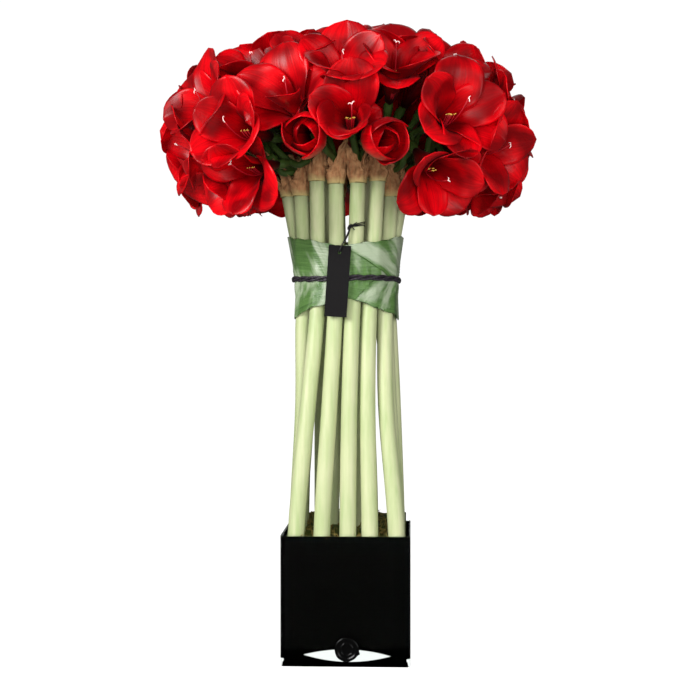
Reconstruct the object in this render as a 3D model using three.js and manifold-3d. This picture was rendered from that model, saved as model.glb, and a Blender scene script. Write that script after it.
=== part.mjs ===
// A tall hand-tied bunch of red amaryllis, standing on its cut stems in a cube vase of clear glass.
// Millimetres, +Z up. The origin is the middle of the vase's underside, and the front faces -Y.
import * as THREE from 'three';
import { mergeVertices } from 'three/addons/utils/BufferGeometryUtils.js';
import Module from 'manifold-3d';

const wasm = await Module();
wasm.setup();

// Vase, with what fills it
const VASE_SIDE = 200;
const VASE_WALL = 5;
const VASE_BASE = 24;
const VASE_EDGE_ROUND = 6;
const POCKET_ROUND = 16;
const FIT_GAP = 0.3;
const LINER_WALL = 1.5;
const LINER_TOP = 196;
const FOAM_TOP = 178;
const MOSS_FRONT = 196;
const MOSS_BACK = 220;
const MOSS_LUMP = 5;

// Stems
const FOOT = 45;
const STEM_RADIUS_FOOT = 13.4;
const STEM_RADIUS_NECK = 11.8;
const STEM_SIDES = 8;
const STEM_LEVELS = [205, 392, 523, 596];
const STEM_ROOM = 0.35;

// Leaf band, the cord that ties it, and the card that hangs from a stem
const TIE_HEIGHT = 596;
const LEAF_THICK = 0.8;
const LEAF_GAP = 1.6;
const LEAF_ABOVE = 68;
const LEAF_BELOW = 62;
const LEAF_TURN = THREE.MathUtils.degToRad(405);
const LEAF_STEP = THREE.MathUtils.degToRad(9);
const LEAF_TAPER = { share: 0.34, from: 0.36 };
const LEAF_LAP = { lift: 1.4, from: 0.72, to: 0.86 };
const CORD_WIDE = 5;
const CORD_THICK = 2;
const CARD = { wide: 34.5, high: 110, thick: 0.8, x: -11.9, z: 591, lean: 3.8, hole: 2.6, holeDrop: 11 };
const STRING_RADIUS = 0.7;
const STRING_HEIGHT = 676;
const KNOT_RADIUS = 3;

// Wax seal on the front of the vase
const SEAL = { x: 2.4, z: 27, radius: 19, thick: 3.5, sunk: 1.4, rim: 5, sides: 22 };

// Flowers
const PEDICEL_RADIUS = 4.6;
const PEDICEL_SIDES = 4;
const OVARY_DEPTH = 10;
const OVARY_RADIUS = 9;
const HUB = { low: 10.4, high: 7, tall: 12 };
const BLOOM_DEPTH = 85;
const PETAL_LENGTH = 118;
const PETAL_THICK = 1.7;
const PETAL_WAVE = 5;
const PETAL_ROOT = 3.4;
const OUTER_PETAL = { widths: [0, 0.62, 1, 0.88, 0], half: 31, lip: 0 };
const INNER_PETAL = { widths: [0, 0.85, 0.95, 0], half: 27, lip: -10 };
const PETAL_SECTOR = 0.46;
const PETAL_FLATTEN = { from: 0.45, by: 60 };
const SPINE_STEPS = 4;
const BLADE_CLEAR = 0.3;
const SIZE_OVER_OPENING = 2;
const SPATHE = { wall: 0.9, gap: 0.4, below: 14, collar: 5, valve: 48, ragged: 0.25, flare: 0.1 };
const SPATHE_SIDES = 6;
const SPATHE_TURN = 0.8;
const STALK_ROOM = 0.6;
const SPATHE_REACH = 22;

// How a petal leaves the flower's axis: degrees at its root, at its tip, and at its tightest.
const FORMS = {
  open: { root: 10, tip: 88, tight: 6 },
  half: { root: 14, tip: 54, tight: 4 },
  rose: { root: 34, tip: -12, tight: -24 },
};

// Each stem's middle at the vase's rim, at 392, at 523, at the tie (596) and at its neck.
const STEMS = [
  { name: '01', path: [[-78, -8], [-66, -4], [-68, -2], [-70, -2]], neck: [-94, -8, 729] },
  { name: '02', path: [[-78, -42], [-70, -30], [-70, -30], [-66, -31]], neck: [-72, -44, 727] },
  { name: '03', path: [[-77, -76], [-60, -68], [-47, -60], [-44, -55]], neck: [-45, -75, 747] },
  { name: '04', path: [[-37, -78], [-26, -72], [-18, -69], [-15, -68]], neck: [-15, -82, 742] },
  { name: '05', path: [[3, -78], [5, -73], [9, -69], [13, -68]], neck: [19, -84, 743] },
  { name: '06', path: [[37, -76], [33, -66], [35, -60], [39, -57]], neck: [49, -68, 747] },
  { name: '07', path: [[78, -74], [62, -55], [60, -42], [61, -33]], neck: [70, -38, 726] },
  { name: '08', path: [[78, -40], [69, -24], [67, -8], [70, -4]], neck: [91, -4, 726] },
  { name: '09', path: [[78, 4], [72, 12], [66, 22], [63, 31]], neck: [83, 40, 735] },
  { name: '10', path: [[78, 48], [68, 50], [54, 52], [44, 54]], neck: [58, 72, 741] },
  { name: '11', path: [[34, 77], [28, 74], [20, 70], [16, 68]], neck: [21, 90, 730] },
  { name: '12', path: [[-4, 78], [-8, 74], [-12, 70], [-16, 68]], neck: [-21, 90, 739] },
  { name: '13', path: [[-46, 77], [-46, 72], [-45, 60], [-44, 54]], neck: [-58, 72, 728] },
  { name: '14', path: [[-78, 40], [-72, 36], [-66, 32], [-63, 31]], neck: [-83, 40, 738] },
  { name: '15', path: [[-28, 10], [-24, 8], [-21, 6], [-20, 6]], neck: [-42, 8, 800] },
  { name: '16', path: [[24, 6], [22, 6], [20, 6], [20, 6]], neck: [40, 10, 800] },
];

// Three blooms to a stem. Place of the mouth: degrees round from the front, distance from the
// middle, height. Then where it faces, in degrees round and up, and its form.
const BLOOMS = {
  '01': [
    [-86, 256, 850, -88, 8, 'open'],
    [-90, 244, 768, -84, -20, 'half'],
    [-100, 208, 906, -92, 38, 'open'],
  ],
  '02': [
    [-62, 248, 864, -54, 18, 'open'],
    [-70, 256, 794, -66, -10, 'half'],
    [-60, 216, 722, -54, -36, 'half'],
  ],
  '03': [
    [-42, 242, 812, -38, 2, 'half'],
    [-54, 176, 918, -42, 44, 'open'],
    [-36, 224, 744, -34, -14, 'open'],
  ],
  '04': [
    [-22, 226, 864, -22, 26, 'open'],
    [-13, 254, 796, -10, -6, 'rose'],
    [-24, 132, 928, -12, 54, 'half'],
  ],
  '05': [
    [0, 186, 904, 0, 38, 'half'],
    [30, 162, 922, 14, 44, 'open'],
    [3, 220, 826, 0, 6, 'open'],
  ],
  '06': [
    [17, 256, 788, 24, -5, 'rose'],
    [54, 100, 948, 26, 66, 'half'],
    [60, 184, 912, 42, 40, 'open'],
  ],
  '07': [
    [44, 250, 838, 36, 10, 'open'],
    [40, 220, 738, 32, -38, 'half'],
    [86, 212, 904, 90, 38, 'half'],
  ],
  '08': [
    [78, 258, 856, 76, 16, 'open'],
    [64, 256, 788, 56, -14, 'half'],
    [84, 220, 732, 76, -44, 'half'],
  ],
  '09': [
    [102, 254, 776, 102, -12, 'open'],
    [104, 256, 850, 104, 14, 'half'],
    [118, 204, 910, 114, 42, 'open'],
  ],
  '10': [
    [126, 228, 744, 126, -12, 'half'],
    [130, 256, 828, 130, 10, 'open'],
    [146, 204, 908, 146, 42, 'half'],
  ],
  '11': [
    [152, 228, 744, 152, -12, 'open'],
    [154, 256, 828, 154, 10, 'half'],
    [174, 204, 908, 174, 42, 'open'],
  ],
  '12': [
    [-180, 228, 744, -180, -12, 'half'],
    [178, 256, 828, 178, 10, 'open'],
    [-158, 204, 908, -158, 42, 'half'],
  ],
  '13': [
    [-146, 228, 742, -146, -12, 'open'],
    [-156, 256, 828, -156, 10, 'rose'],
    [-132, 204, 908, -134, 42, 'open'],
  ],
  '14': [
    [-120, 228, 742, -120, -12, 'half'],
    [-132, 256, 828, -130, 10, 'open'],
    [-112, 250, 844, -112, 14, 'half'],
  ],
  '15': [
    [-62, 102, 950, -44, 68, 'open'],
    [-118, 114, 948, -114, 64, 'half'],
    [-170, 102, 950, -170, 66, 'open'],
  ],
  '16': [
    [8, 50, 960, 0, 78, 'half'],
    [110, 114, 948, 106, 62, 'open'],
    [156, 114, 948, 150, 64, 'half'],
  ],
};

function vec(x, y, z) {
  return new THREE.Vector3(x, y, z);
}

// A number from 0 to 1 that looks random and is the same each time.
function chance(seed) {
  const value = Math.sin(seed * 12.9898 + 78.233) * 43758.5453;
  return value - Math.floor(value);
}

function material(color, roughness, metalness = 0) {
  return new THREE.MeshStandardMaterial({ color, roughness, metalness });
}

// Closed geometry to a solid that can be joined or cut, and back.
function toSolid(geometry) {
  const bare = geometry.clone();
  bare.deleteAttribute('normal');
  bare.deleteAttribute('uv');
  const welded = mergeVertices(bare, 1e-4);
  return new wasm.Manifold(new wasm.Mesh({
    numProp: 3,
    vertProperties: new Float32Array(welded.attributes.position.array),
    triVerts: new Uint32Array(welded.index.array),
  }));
}

function toGeometry(solid) {
  const mesh = solid.getMesh();
  const geometry = new THREE.BufferGeometry();
  geometry.setAttribute('position', new THREE.BufferAttribute(mesh.vertProperties, 3));
  geometry.setIndex(new THREE.BufferAttribute(mesh.triVerts, 1));
  geometry.computeVertexNormals();
  return geometry;
}

function joined(solids) {
  return solids.reduce((whole, solid) => whole.add(solid));
}

function largestPiece(solid) {
  return solid.decompose().reduce((best, piece) => (piece.volume() > best.volume() ? piece : best));
}

// Moves every vertex of a geometry to where place(vertex, number) says.
function mapped(geometry, place) {
  const position = geometry.attributes.position;
  const vertex = vec(0, 0, 0);
  for (let i = 0; i < position.count; i++) {
    vertex.fromBufferAttribute(position, i);
    const moved = place(vertex, i);
    position.setXYZ(i, moved.x, moved.y, moved.z);
  }
  return geometry;
}

// A round rod through points, each with the radius there and the way its section faces.
function rod(sections, sides) {
  const geometry = new THREE.CylinderGeometry(1, 1, 1, sides, sections.length - 1);
  return mapped(geometry, (vertex) => {
    const { at, radius, facing } = sections[Math.round((vertex.y + 0.5) * (sections.length - 1))];
    const turn = new THREE.Quaternion().setFromUnitVectors(vec(0, 1, 0), facing.clone().normalize());
    return vec(radius * vertex.x, 0, radius * vertex.z).applyQuaternion(turn).add(at);
  });
}

// Vase

function roundedBlock(width, height, depth, round) {
  const [x, y] = [width / 2, height / 2];
  const shape = new THREE.Shape();
  shape.moveTo(-x + round, -y);
  shape.absarc(x - round, -y + round, round, -Math.PI / 2, 0, false);
  shape.absarc(x - round, y - round, round, 0, Math.PI / 2, false);
  shape.absarc(-x + round, y - round, round, Math.PI / 2, Math.PI, false);
  shape.absarc(-x + round, -y + round, round, Math.PI, Math.PI * 1.5, false);
  const geometry = new THREE.ExtrudeGeometry(shape, { depth, curveSegments: 2, bevelEnabled: false });
  return geometry.translate(0, 0, -depth / 2);
}

// What the pocket of the vase holds, taken in by inset all round, up to top: square from above,
// with the lower edges of its four walls well rounded.
function pocketFill(inset, top) {
  const side = VASE_SIDE - 2 * (VASE_WALL + inset);
  const floor = VASE_BASE + inset;
  const tall = 2 * VASE_SIDE;
  const upright = roundedBlock(side, side, top - floor, VASE_EDGE_ROUND - inset);
  upright.translate(0, 0, (top + floor) / 2);
  const along = roundedBlock(side, tall, VASE_SIDE, POCKET_ROUND - inset).rotateX(Math.PI / 2);
  along.translate(0, 0, floor + tall / 2);
  const across = along.clone().rotateZ(Math.PI / 2);
  return toSolid(upright).intersect(toSolid(along)).intersect(toSolid(across));
}

function vase() {
  const block = roundedBlock(VASE_SIDE, VASE_SIDE, VASE_SIDE, VASE_EDGE_ROUND + 1);
  block.translate(0, 0, VASE_SIDE / 2);
  return toSolid(block).subtract(pocketFill(0, VASE_SIDE + 1));
}

function liner() {
  return pocketFill(FIT_GAP, LINER_TOP).subtract(pocketFill(FIT_GAP + LINER_WALL, LINER_TOP + 1));
}

// Stems

// The middle of a stem from its foot to its neck, level by level.
function stemLine(stem) {
  const points = stem.path.map(([x, y], i) => vec(x, y, STEM_LEVELS[i]));
  return [vec(...stem.path[0], FOOT), ...points, vec(...stem.neck)];
}

function stemMiddle(stem, height) {
  const line = stemLine(stem);
  const upper = Math.max(1, line.findIndex((point, i) => point.z >= height || i === line.length - 1));
  const [below, above] = [line[upper - 1], line[upper]];
  return below.clone().lerp(above, (height - below.z) / (above.z - below.z));
}

function stemRadius(height, neck) {
  return THREE.MathUtils.mapLinear(height, FOOT, neck, STEM_RADIUS_FOOT, STEM_RADIUS_NECK);
}

// A stem's solid, or with extra the room it needs in what it stands in.
function stemSolid(stem, extra = 0) {
  const line = stemLine(stem);
  line[0].z -= extra;
  const geometry = new THREE.CylinderGeometry(1, 1, 1, STEM_SIDES, line.length - 1);
  return toSolid(mapped(geometry, (vertex) => {
    const middle = line[Math.round((vertex.y + 0.5) * (line.length - 1))];
    const radius = stemRadius(middle.z, stem.neck[2]) + extra;
    return vec(middle.x + radius * vertex.z, middle.y + radius * vertex.x, middle.z);
  }));
}

const stemRooms = STEMS.map((stem) => stemSolid(stem, STEM_ROOM));

function foam() {
  return stemRooms.reduce(
    (block, room) => block.subtract(room),
    pocketFill(2 * FIT_GAP + LINER_WALL, FOAM_TOP),
  );
}

function moss() {
  const geometry = new THREE.BoxGeometry(VASE_SIDE, VASE_SIDE, 1, 2, 2, 1);
  mapped(geometry, (vertex) => {
    const top = THREE.MathUtils.lerp(MOSS_FRONT, MOSS_BACK, vertex.y / VASE_SIDE + 0.5);
    const lump = MOSS_LUMP * chance(Math.round(vertex.x) * 7 + Math.round(vertex.y));
    return vec(vertex.x, vertex.y, vertex.z > 0 ? top - lump : FOAM_TOP + FIT_GAP);
  });
  const bed = pocketFill(2 * FIT_GAP + LINER_WALL, MOSS_BACK).intersect(toSolid(geometry));
  return stemRooms.reduce((lump, room) => lump.subtract(room), bed);
}

// Leaf band and tie

// Distance from the middle to a skin stretched round all stems at one height, at one angle.
function bundleReach(angle, height) {
  let reach = Infinity;
  for (let turn = -80; turn <= 80; turn += 4) {
    const tangent = angle + THREE.MathUtils.degToRad(turn);
    const farthest = Math.max(...STEMS.map((stem) => {
      const middle = stemMiddle(stem, height);
      return middle.x * Math.sin(tangent) - middle.y * Math.cos(tangent) + stemRadius(height, stem.neck[2]);
    }));
    reach = Math.min(reach, farthest / Math.cos(tangent - angle));
  }
  return reach;
}

// How far the band's inner face stands off the stems, where the leaf has run once round or more.
function lapLift(run) {
  return LEAF_LAP.lift * THREE.MathUtils.smoothstep(run, LEAF_LAP.from, LEAF_LAP.to);
}

function leafBand() {
  const columns = Math.round(LEAF_TURN / LEAF_STEP);
  const rows = [-1, 0, 1];
  const geometry = new THREE.BoxGeometry(1, 1, 1, columns, rows.length - 1, 1);
  return toSolid(mapped(geometry, (vertex) => {
    const run = vertex.x + 0.5;
    const row = rows[Math.round((vertex.y + 0.5) * (rows.length - 1))];
    const angle = (run - 0.5) * LEAF_TURN + Math.PI;
    const toEnd = THREE.MathUtils.smoothstep(Math.abs(run - 0.5), LEAF_TAPER.from, 0.5);
    const height = TIE_HEIGHT + row * (1 - LEAF_TAPER.share * toEnd) * (row > 0 ? LEAF_ABOVE : LEAF_BELOW);
    const inner = bundleReach(angle, height) + LEAF_GAP + lapLift(run);
    const reach = inner + (vertex.z > 0 ? LEAF_THICK : 0);
    return vec(reach * Math.sin(angle), -reach * Math.cos(angle), height);
  }));
}

// From the skin round the stems to the outer face of the leaf band.
function bandDepth(angle) {
  const fromBack = THREE.MathUtils.euclideanModulo(angle, 2 * Math.PI) - Math.PI;
  const lapped = Math.PI - Math.abs(fromBack) < LEAF_TURN / 2 - Math.PI + LEAF_STEP;
  return LEAF_GAP + (lapped ? LEAF_LAP.lift : lapLift(0.5 + fromBack / LEAF_TURN)) + LEAF_THICK;
}

function tieCord() {
  const turns = Math.round(2 * Math.PI / LEAF_STEP);
  const geometry = new THREE.TorusGeometry(1, 0.5, 4, turns).rotateZ(LEAF_STEP / 2);
  return toSolid(mapped(geometry, (vertex) => {
    const angle = Math.atan2(vertex.x, -vertex.y);
    const out = Math.hypot(vertex.x, vertex.y) - 1;
    const band = bundleReach(angle, TIE_HEIGHT) + bandDepth(angle);
    const reach = band + FIT_GAP + CORD_THICK * (0.5 + out);
    return vec(reach * Math.sin(angle), -reach * Math.cos(angle), TIE_HEIGHT + CORD_WIDE * vertex.z);
  }));
}

// Card and string

// The card hangs upright, just clear of where the leaf band stands out most behind it.
function cardFront() {
  let front = 0;
  for (let height = CARD.z - CARD.high / 2; height < CARD.z + CARD.high / 2; height += 10) {
    for (let angle = -24; angle <= 6; angle += 3) {
      const turn = THREE.MathUtils.degToRad(angle);
      front = Math.max(front, (bundleReach(turn, height) + bandDepth(turn)) * Math.cos(turn));
    }
  }
  return front + CORD_THICK + 2 * FIT_GAP + CARD.thick / 2;
}

const cardDepth = cardFront();

function cardPlace(x, z) {
  const lean = THREE.MathUtils.degToRad(CARD.lean);
  return vec(
    CARD.x + x * Math.cos(lean) + z * Math.sin(lean),
    -cardDepth,
    CARD.z - x * Math.sin(lean) + z * Math.cos(lean),
  );
}

function card() {
  const plate = new THREE.BoxGeometry(CARD.wide, CARD.thick, CARD.high);
  const hole = new THREE.CylinderGeometry(CARD.hole, CARD.hole, 4 * CARD.thick, 10);
  hole.translate(0, 0, CARD.high / 2 - CARD.holeDrop);
  const solid = toSolid(plate).subtract(toSolid(hole));
  return toSolid(mapped(toGeometry(solid), ({ x, y, z }) => cardPlace(x, z).add(vec(0, y, 0))));
}

function stringTube(points, steps) {
  const section = new THREE.Shape();
  section.absarc(0, 0, STRING_RADIUS, 0, 2 * Math.PI, false);
  return toSolid(new THREE.ExtrudeGeometry(section, {
    steps,
    curveSegments: 4,
    bevelEnabled: false,
    extrudePath: new THREE.CatmullRomCurve3(points),
  }));
}

// Twice round the stem beside the card, a knot in front, down through the card's hole, and a tail.
function cardString() {
  const stem = STEMS[4];
  const middle = stemMiddle(stem, STRING_HEIGHT);
  const radius = stemRadius(STRING_HEIGHT, stem.neck[2]) + STRING_RADIUS + FIT_GAP;
  const loop = new THREE.TorusGeometry(radius, STRING_RADIUS, 6, 16).scale(1, 1, 2);
  loop.translate(middle.x, middle.y, STRING_HEIGHT);
  const knotAt = vec(middle.x - 8, middle.y - radius - 1, STRING_HEIGHT);
  const knot = new THREE.SphereGeometry(KNOT_RADIUS, 6, 4).translate(...knotAt.toArray());
  const hole = cardPlace(0, CARD.high / 2 - CARD.holeDrop);
  const strand = stringTube([
    knotAt,
    vec((knotAt.x + hole.x) / 2, hole.y - 2, (knotAt.z + hole.z) / 2),
    hole.clone().add(vec(0, -2.8, 4)),
    hole.clone().add(vec(0, -1.2, 0.3)),
    hole.clone().add(vec(0, 1.6, 0)),
  ], 7);
  const tail = stringTube([
    knotAt,
    knotAt.clone().add(vec(12, -3, 4)),
    knotAt.clone().add(vec(24, -4, 3)),
  ], 3);
  return joined([loop, knot].map(toSolid)).add(strand).add(tail);
}

function waxSeal() {
  const floor = SEAL.thick - SEAL.sunk;
  const profile = [
    [0, 0],
    [SEAL.radius - 1, 0],
    [SEAL.radius, SEAL.sunk],
    [SEAL.radius - SEAL.rim / 2, SEAL.thick],
    [SEAL.radius - SEAL.rim, floor],
    [0, floor],
  ].map(([radius, height]) => new THREE.Vector2(radius, height));
  const geometry = new THREE.LatheGeometry(profile, SEAL.sides).rotateX(Math.PI);
  return toSolid(geometry.translate(SEAL.x, -VASE_SIDE / 2 - FIT_GAP, SEAL.z));
}

// Flowers

function direction(round, rise) {
  const a = THREE.MathUtils.degToRad(round);
  const e = THREE.MathUtils.degToRad(rise);
  return vec(Math.sin(a) * Math.cos(e), -Math.cos(a) * Math.cos(e), Math.sin(e));
}

function hubTop(stem) {
  return vec(...stem.neck).add(vec(0, 0, HUB.tall * 0.6));
}

const blooms = STEMS.flatMap((stem) => BLOOMS[stem.name].map(([round, out, height, az, el, form]) => {
  const axis = direction(az, el);
  const mouth = direction(round, 0).multiplyScalar(out).add(vec(0, 0, height));
  const base = mouth.clone().addScaledVector(axis, -BLOOM_DEPTH);
  return { stem: stem.name, axis, mouth, base, hub: hubTop(stem), form: FORMS[form] };
}));

// The two nearest points of two straight lines between points.
function nearest(a, b, c, d) {
  const p = vec(0, 0, 0);
  const q = vec(0, 0, 0);
  let s = 0.5;
  for (let step = 0; step < 30; step++) {
    p.lerpVectors(a, b, s);
    new THREE.Line3(c, d).closestPointToPoint(p, true, q);
    s = new THREE.Line3(a, b).closestPointToPointParameter(q, true);
  }
  return [p, q];
}

// Each bloom's room: planes that stand between its axis and every other bloom's axis, pedicel
// and neck. Petals stay on their own side, so no two heads meet.
function roomOf(bloom) {
  const planes = [];
  const wall = (from, to, keep) => {
    const [own, other] = nearest(bloom.base, bloom.mouth, from, to);
    const normal = own.clone().sub(other).normalize();
    const offset = keep ?? own.distanceTo(other) / 2;
    planes.push(new THREE.Plane().setFromNormalAndCoplanarPoint(
      normal,
      other.clone().addScaledVector(normal, offset + BLADE_CLEAR),
    ));
  };
  for (const other of blooms) {
    if (other === bloom) continue;
    wall(other.base, other.mouth);
    wall(other.hub, other.base, PEDICEL_RADIUS);
  }
  for (const stem of STEMS) {
    const neck = vec(...stem.neck);
    wall(neck.clone().add(vec(0, 0, -90)), neck.clone().add(vec(0, 0, SPATHE.valve * 0.6)), SPATHE_REACH);
  }
  return planes;
}

// Where a petal's rows lie in the plane of its axis: out from it, along it and its slope.
function petalSpine(kind, form, opening, size) {
  const tip = THREE.MathUtils.lerp(form.tight, form.tip + kind.lip, opening);
  const count = (kind.widths.length - 1) * SPINE_STEPS;
  const piece = (PETAL_LENGTH * size) / count;
  const rows = [{ out: PETAL_ROOT, along: 0, slope: THREE.MathUtils.degToRad(form.root) }];
  let { out, along } = rows[0];
  for (let i = 1; i <= count; i++) {
    const s = (i - 0.5) / count;
    const slope = THREE.MathUtils.degToRad(THREE.MathUtils.lerp(form.root, tip, s ** 1.4));
    out += piece * Math.sin(slope);
    along += piece * Math.cos(slope);
    if (i % SPINE_STEPS === 0) rows.push({ out, along, slope });
  }
  return rows;
}

// A thin blade: left edge, inner face, right edge and outer face, from root to tip.
function blade(rows) {
  const geometry = new THREE.SphereGeometry(1, 4, rows);
  const index = geometry.index.array;
  for (let row = 1; row < rows - 1; row++) {
    for (const column of [2, 3]) {
      const at = 3 * (4 + 8 * (row - 1) + 2 * column);
      const [a, b, d] = index.slice(at, at + 3);
      index.set([a, b, index[at + 4], a, index[at + 4], d], at);
    }
  }
  return geometry;
}

function petal(bloom, kind, turn, opening, size, seed) {
  const side = vec(0, 0, 1).cross(bloom.axis).normalize();
  const top = bloom.axis.clone().cross(side);
  const away = top.multiplyScalar(Math.cos(turn)).addScaledVector(side, Math.sin(turn));
  const across = bloom.axis.clone().cross(away);
  const spine = petalSpine(kind, bloom.form, opening, size);
  const rows = kind.widths.length - 1;
  return mapped(blade(rows), (vertex, i) => {
    const row = Math.floor(i / 5);
    const { out, along, slope } = spine[row];
    const inward = bloom.axis.clone().multiplyScalar(Math.sin(slope))
      .addScaledVector(away, -Math.cos(slope));
    const bend = out + 1 + PETAL_FLATTEN.by * Math.max(0, row / rows - PETAL_FLATTEN.from) ** 2;
    const half = Math.min(kind.half * size * kind.widths[row], PETAL_SECTOR * bend);
    const edge = [-1, 0, 1, 0, -1][i % 5];
    const face = row === 0 || row === rows ? 0 : [0, 1, 0, -1, 0][i % 5];
    const waves = edge !== 0 && row > 1 && row < rows;
    const wave = waves ? PETAL_WAVE * (chance(seed + row + 3 * edge) - 0.5) : 0;
    const curl = (edge * half) / bend;
    return bloom.base.clone()
      .addScaledVector(bloom.axis, along)
      .addScaledVector(away, out)
      .addScaledVector(across, bend * Math.sin(curl))
      .addScaledVector(inward, bend * (1 - Math.cos(curl)) + (face * PETAL_THICK) / 2 + wave);
  });
}

function fits(geometry, planes) {
  const position = geometry.attributes.position;
  const vertex = vec(0, 0, 0);
  for (let i = 0; i < position.count; i++) {
    vertex.fromBufferAttribute(position, i);
    if (planes.some((plane) => plane.distanceToPoint(vertex) < 0)) return false;
  }
  return true;
}

// The petal as open and as large as its bloom's room lets it be.
function fittedPetal(bloom, planes, kind, turn, seed) {
  let best = null;
  let bestScore = 0;
  for (let size = 1; size > 0.5; size -= 0.04) {
    for (let opening = 1; opening > -0.01; opening -= 0.1) {
      const score = opening + SIZE_OVER_OPENING * size;
      if (score <= bestScore) break;
      const geometry = petal(bloom, kind, turn, opening, size, seed);
      if (!fits(geometry, planes)) continue;
      best = geometry;
      bestScore = score;
      break;
    }
  }
  return toSolid(best);
}

// A bloom's stalk, which turns into the bloom's own axis at its end.
function pedicel(bloom, sides, extra = 0) {
  const stalk = bloom.base.clone().sub(bloom.hub).normalize();
  const bend = stalk.clone().add(bloom.axis);
  return rod([
    { at: bloom.hub, radius: PEDICEL_RADIUS + extra, facing: stalk },
    {
      at: bloom.base.clone().addScaledVector(bend.normalize(), -OVARY_DEPTH),
      radius: PEDICEL_RADIUS + extra,
      facing: bend,
    },
    {
      at: bloom.base.clone().addScaledVector(bloom.axis, OVARY_DEPTH / 2),
      radius: OVARY_RADIUS + extra,
      facing: bloom.axis,
    },
  ], sides);
}

function bloomSolids(bloom, number) {
  const planes = roomOf(bloom);
  const roll = 0.3 * (chance(number) - 0.5);
  const solids = [toSolid(pedicel(bloom, PEDICEL_SIDES))];
  for (let k = 0; k < 6; k++) {
    const kind = k % 2 === 0 ? OUTER_PETAL : INNER_PETAL;
    solids.push(fittedPetal(bloom, planes, kind, roll + (k * Math.PI) / 3, number * 31 + k * 7));
  }
  return solids;
}

function flowerHead(stem) {
  const hub = new THREE.CylinderGeometry(HUB.high, HUB.low, HUB.tall, 6, 1).rotateX(Math.PI / 2);
  hub.translate(stem.neck[0], stem.neck[1], stem.neck[2] + FIT_GAP + HUB.tall / 2);
  const solids = blooms.flatMap((bloom, i) => (bloom.stem === stem.name ? bloomSolids(bloom, i + 1) : []));
  return joined([toSolid(hub), ...solids]);
}

// How far a sheath can spread from its stem's middle before it meets its neighbour's.
function neckRoom(stem, away) {
  const others = STEMS.filter((other) => other !== stem);
  return Math.min(...others.map((other) => {
    const between = vec(other.neck[0] - stem.neck[0], other.neck[1] - stem.neck[1], 0);
    const share = between.length() / 2 - FIT_GAP;
    return share / Math.max(0.01, between.normalize().dot(away));
  }));
}

// Papery sheath round the neck: a collar with two long torn points, one on each side of the stalks.
function spathe(stem) {
  const neck = vec(...stem.neck);
  const seed = Number(stem.name);
  const inner = (stemRadius(neck.z - SPATHE.below, neck.z) + SPATHE.gap) / Math.cos(Math.PI / SPATHE_SIDES);
  const outer = inner + SPATHE.wall;
  const profile = [[inner, 0], [outer, 0], [outer, 1], [outer, 2], [inner, 2], [inner, 1], [inner, 0]]
    .map(([radius, level]) => new THREE.Vector2(radius, level));
  const turn = Math.atan2(neck.x, -neck.y) + SPATHE_TURN * (chance(seed) - 0.5);
  const geometry = mapped(new THREE.LatheGeometry(profile, SPATHE_SIDES), (vertex) => {
    const angle = Math.atan2(vertex.x, vertex.z);
    const column = Math.round((angle / Math.PI + 2) * SPATHE_SIDES / 2) % SPATHE_SIDES;
    const point = Math.abs(Math.sin(angle)) ** 3;
    const torn = 1 - SPATHE.ragged * chance(seed * 9 + column);
    const rise = SPATHE.collar + SPATHE.valve * point * torn;
    const height = [-SPATHE.below, 0, rise][Math.round(vertex.y)];
    const middle = stemMiddle(stem, Math.min(neck.z, neck.z + height));
    const away = vec(vertex.x, -vertex.z, 0).normalize().applyAxisAngle(vec(0, 0, 1), turn);
    const flare = Math.min(SPATHE.flare * Math.max(0, height), neckRoom(stem, away) - outer);
    const radius = Math.hypot(vertex.x, vertex.z) + flare;
    return middle.addScaledVector(away, radius).setZ(neck.z + height);
  });
  const own = blooms.filter((bloom) => bloom.stem === stem.name);
  const room = own.map((bloom) => toSolid(pedicel(bloom, PEDICEL_SIDES, STALK_ROOM)));
  return largestPiece(room.reduce((sheath, stalk) => sheath.subtract(stalk), toSolid(geometry)));
}

// The whole bunch in its vase

const bouquet = new THREE.Group();

function place(name, solid, finish) {
  const mesh = new THREE.Mesh(toGeometry(solid), finish);
  mesh.name = name;
  bouquet.add(mesh);
}

const glass = material(0xeef3f1, 0.05);
const blackLining = material(0x050505, 0.5);
const floralFoam = material(0x2d3a22, 0.95);
const mossGreen = material(0x2a2d17, 0.95);
const leafGreen = material(0x3e6b45, 0.35);
const blackCord = material(0x0c0c0c, 0.6);
const blackCard = material(0x101010, 0.45);
const sealBlack = material(0x0a0a0a, 0.3);
const stemGreen = material(0xc6d49c, 0.5);
const petalRed = material(0xb80716, 0.45);
const spatheBrown = material(0x8a5a3c, 0.8);

place('glass_vase', vase(), glass);
place('black_liner', liner(), blackLining);
place('floral_foam', foam(), floralFoam);
place('moss', moss(), mossGreen);
place('leaf_wrap', leafBand(), leafGreen);
place('tie_cord', tieCord(), blackCord);
place('gift_tag', card(), blackCard);
place('tag_string', cardString(), blackCord);
place('wax_seal', waxSeal(), sealBlack);

for (const stem of STEMS) {
  place(`stem_${stem.name}`, stemSolid(stem), stemGreen);
  place(`spathe_${stem.name}`, spathe(stem), spatheBrown);
  place(`flower_head_${stem.name}`, flowerHead(stem), petalRed);
}

export default bouquet;
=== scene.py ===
"""Looks of a hand-tied bunch of amaryllis in a cube vase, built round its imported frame.

Metres, +Z up, the front faces -Y. The properties are in metres, and all other sizes are in
millimetres until a point goes into a mesh, unless a comment says otherwise.
"""

import math

import bmesh
import bpy
import numpy as np
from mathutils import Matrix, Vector, noise


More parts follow.
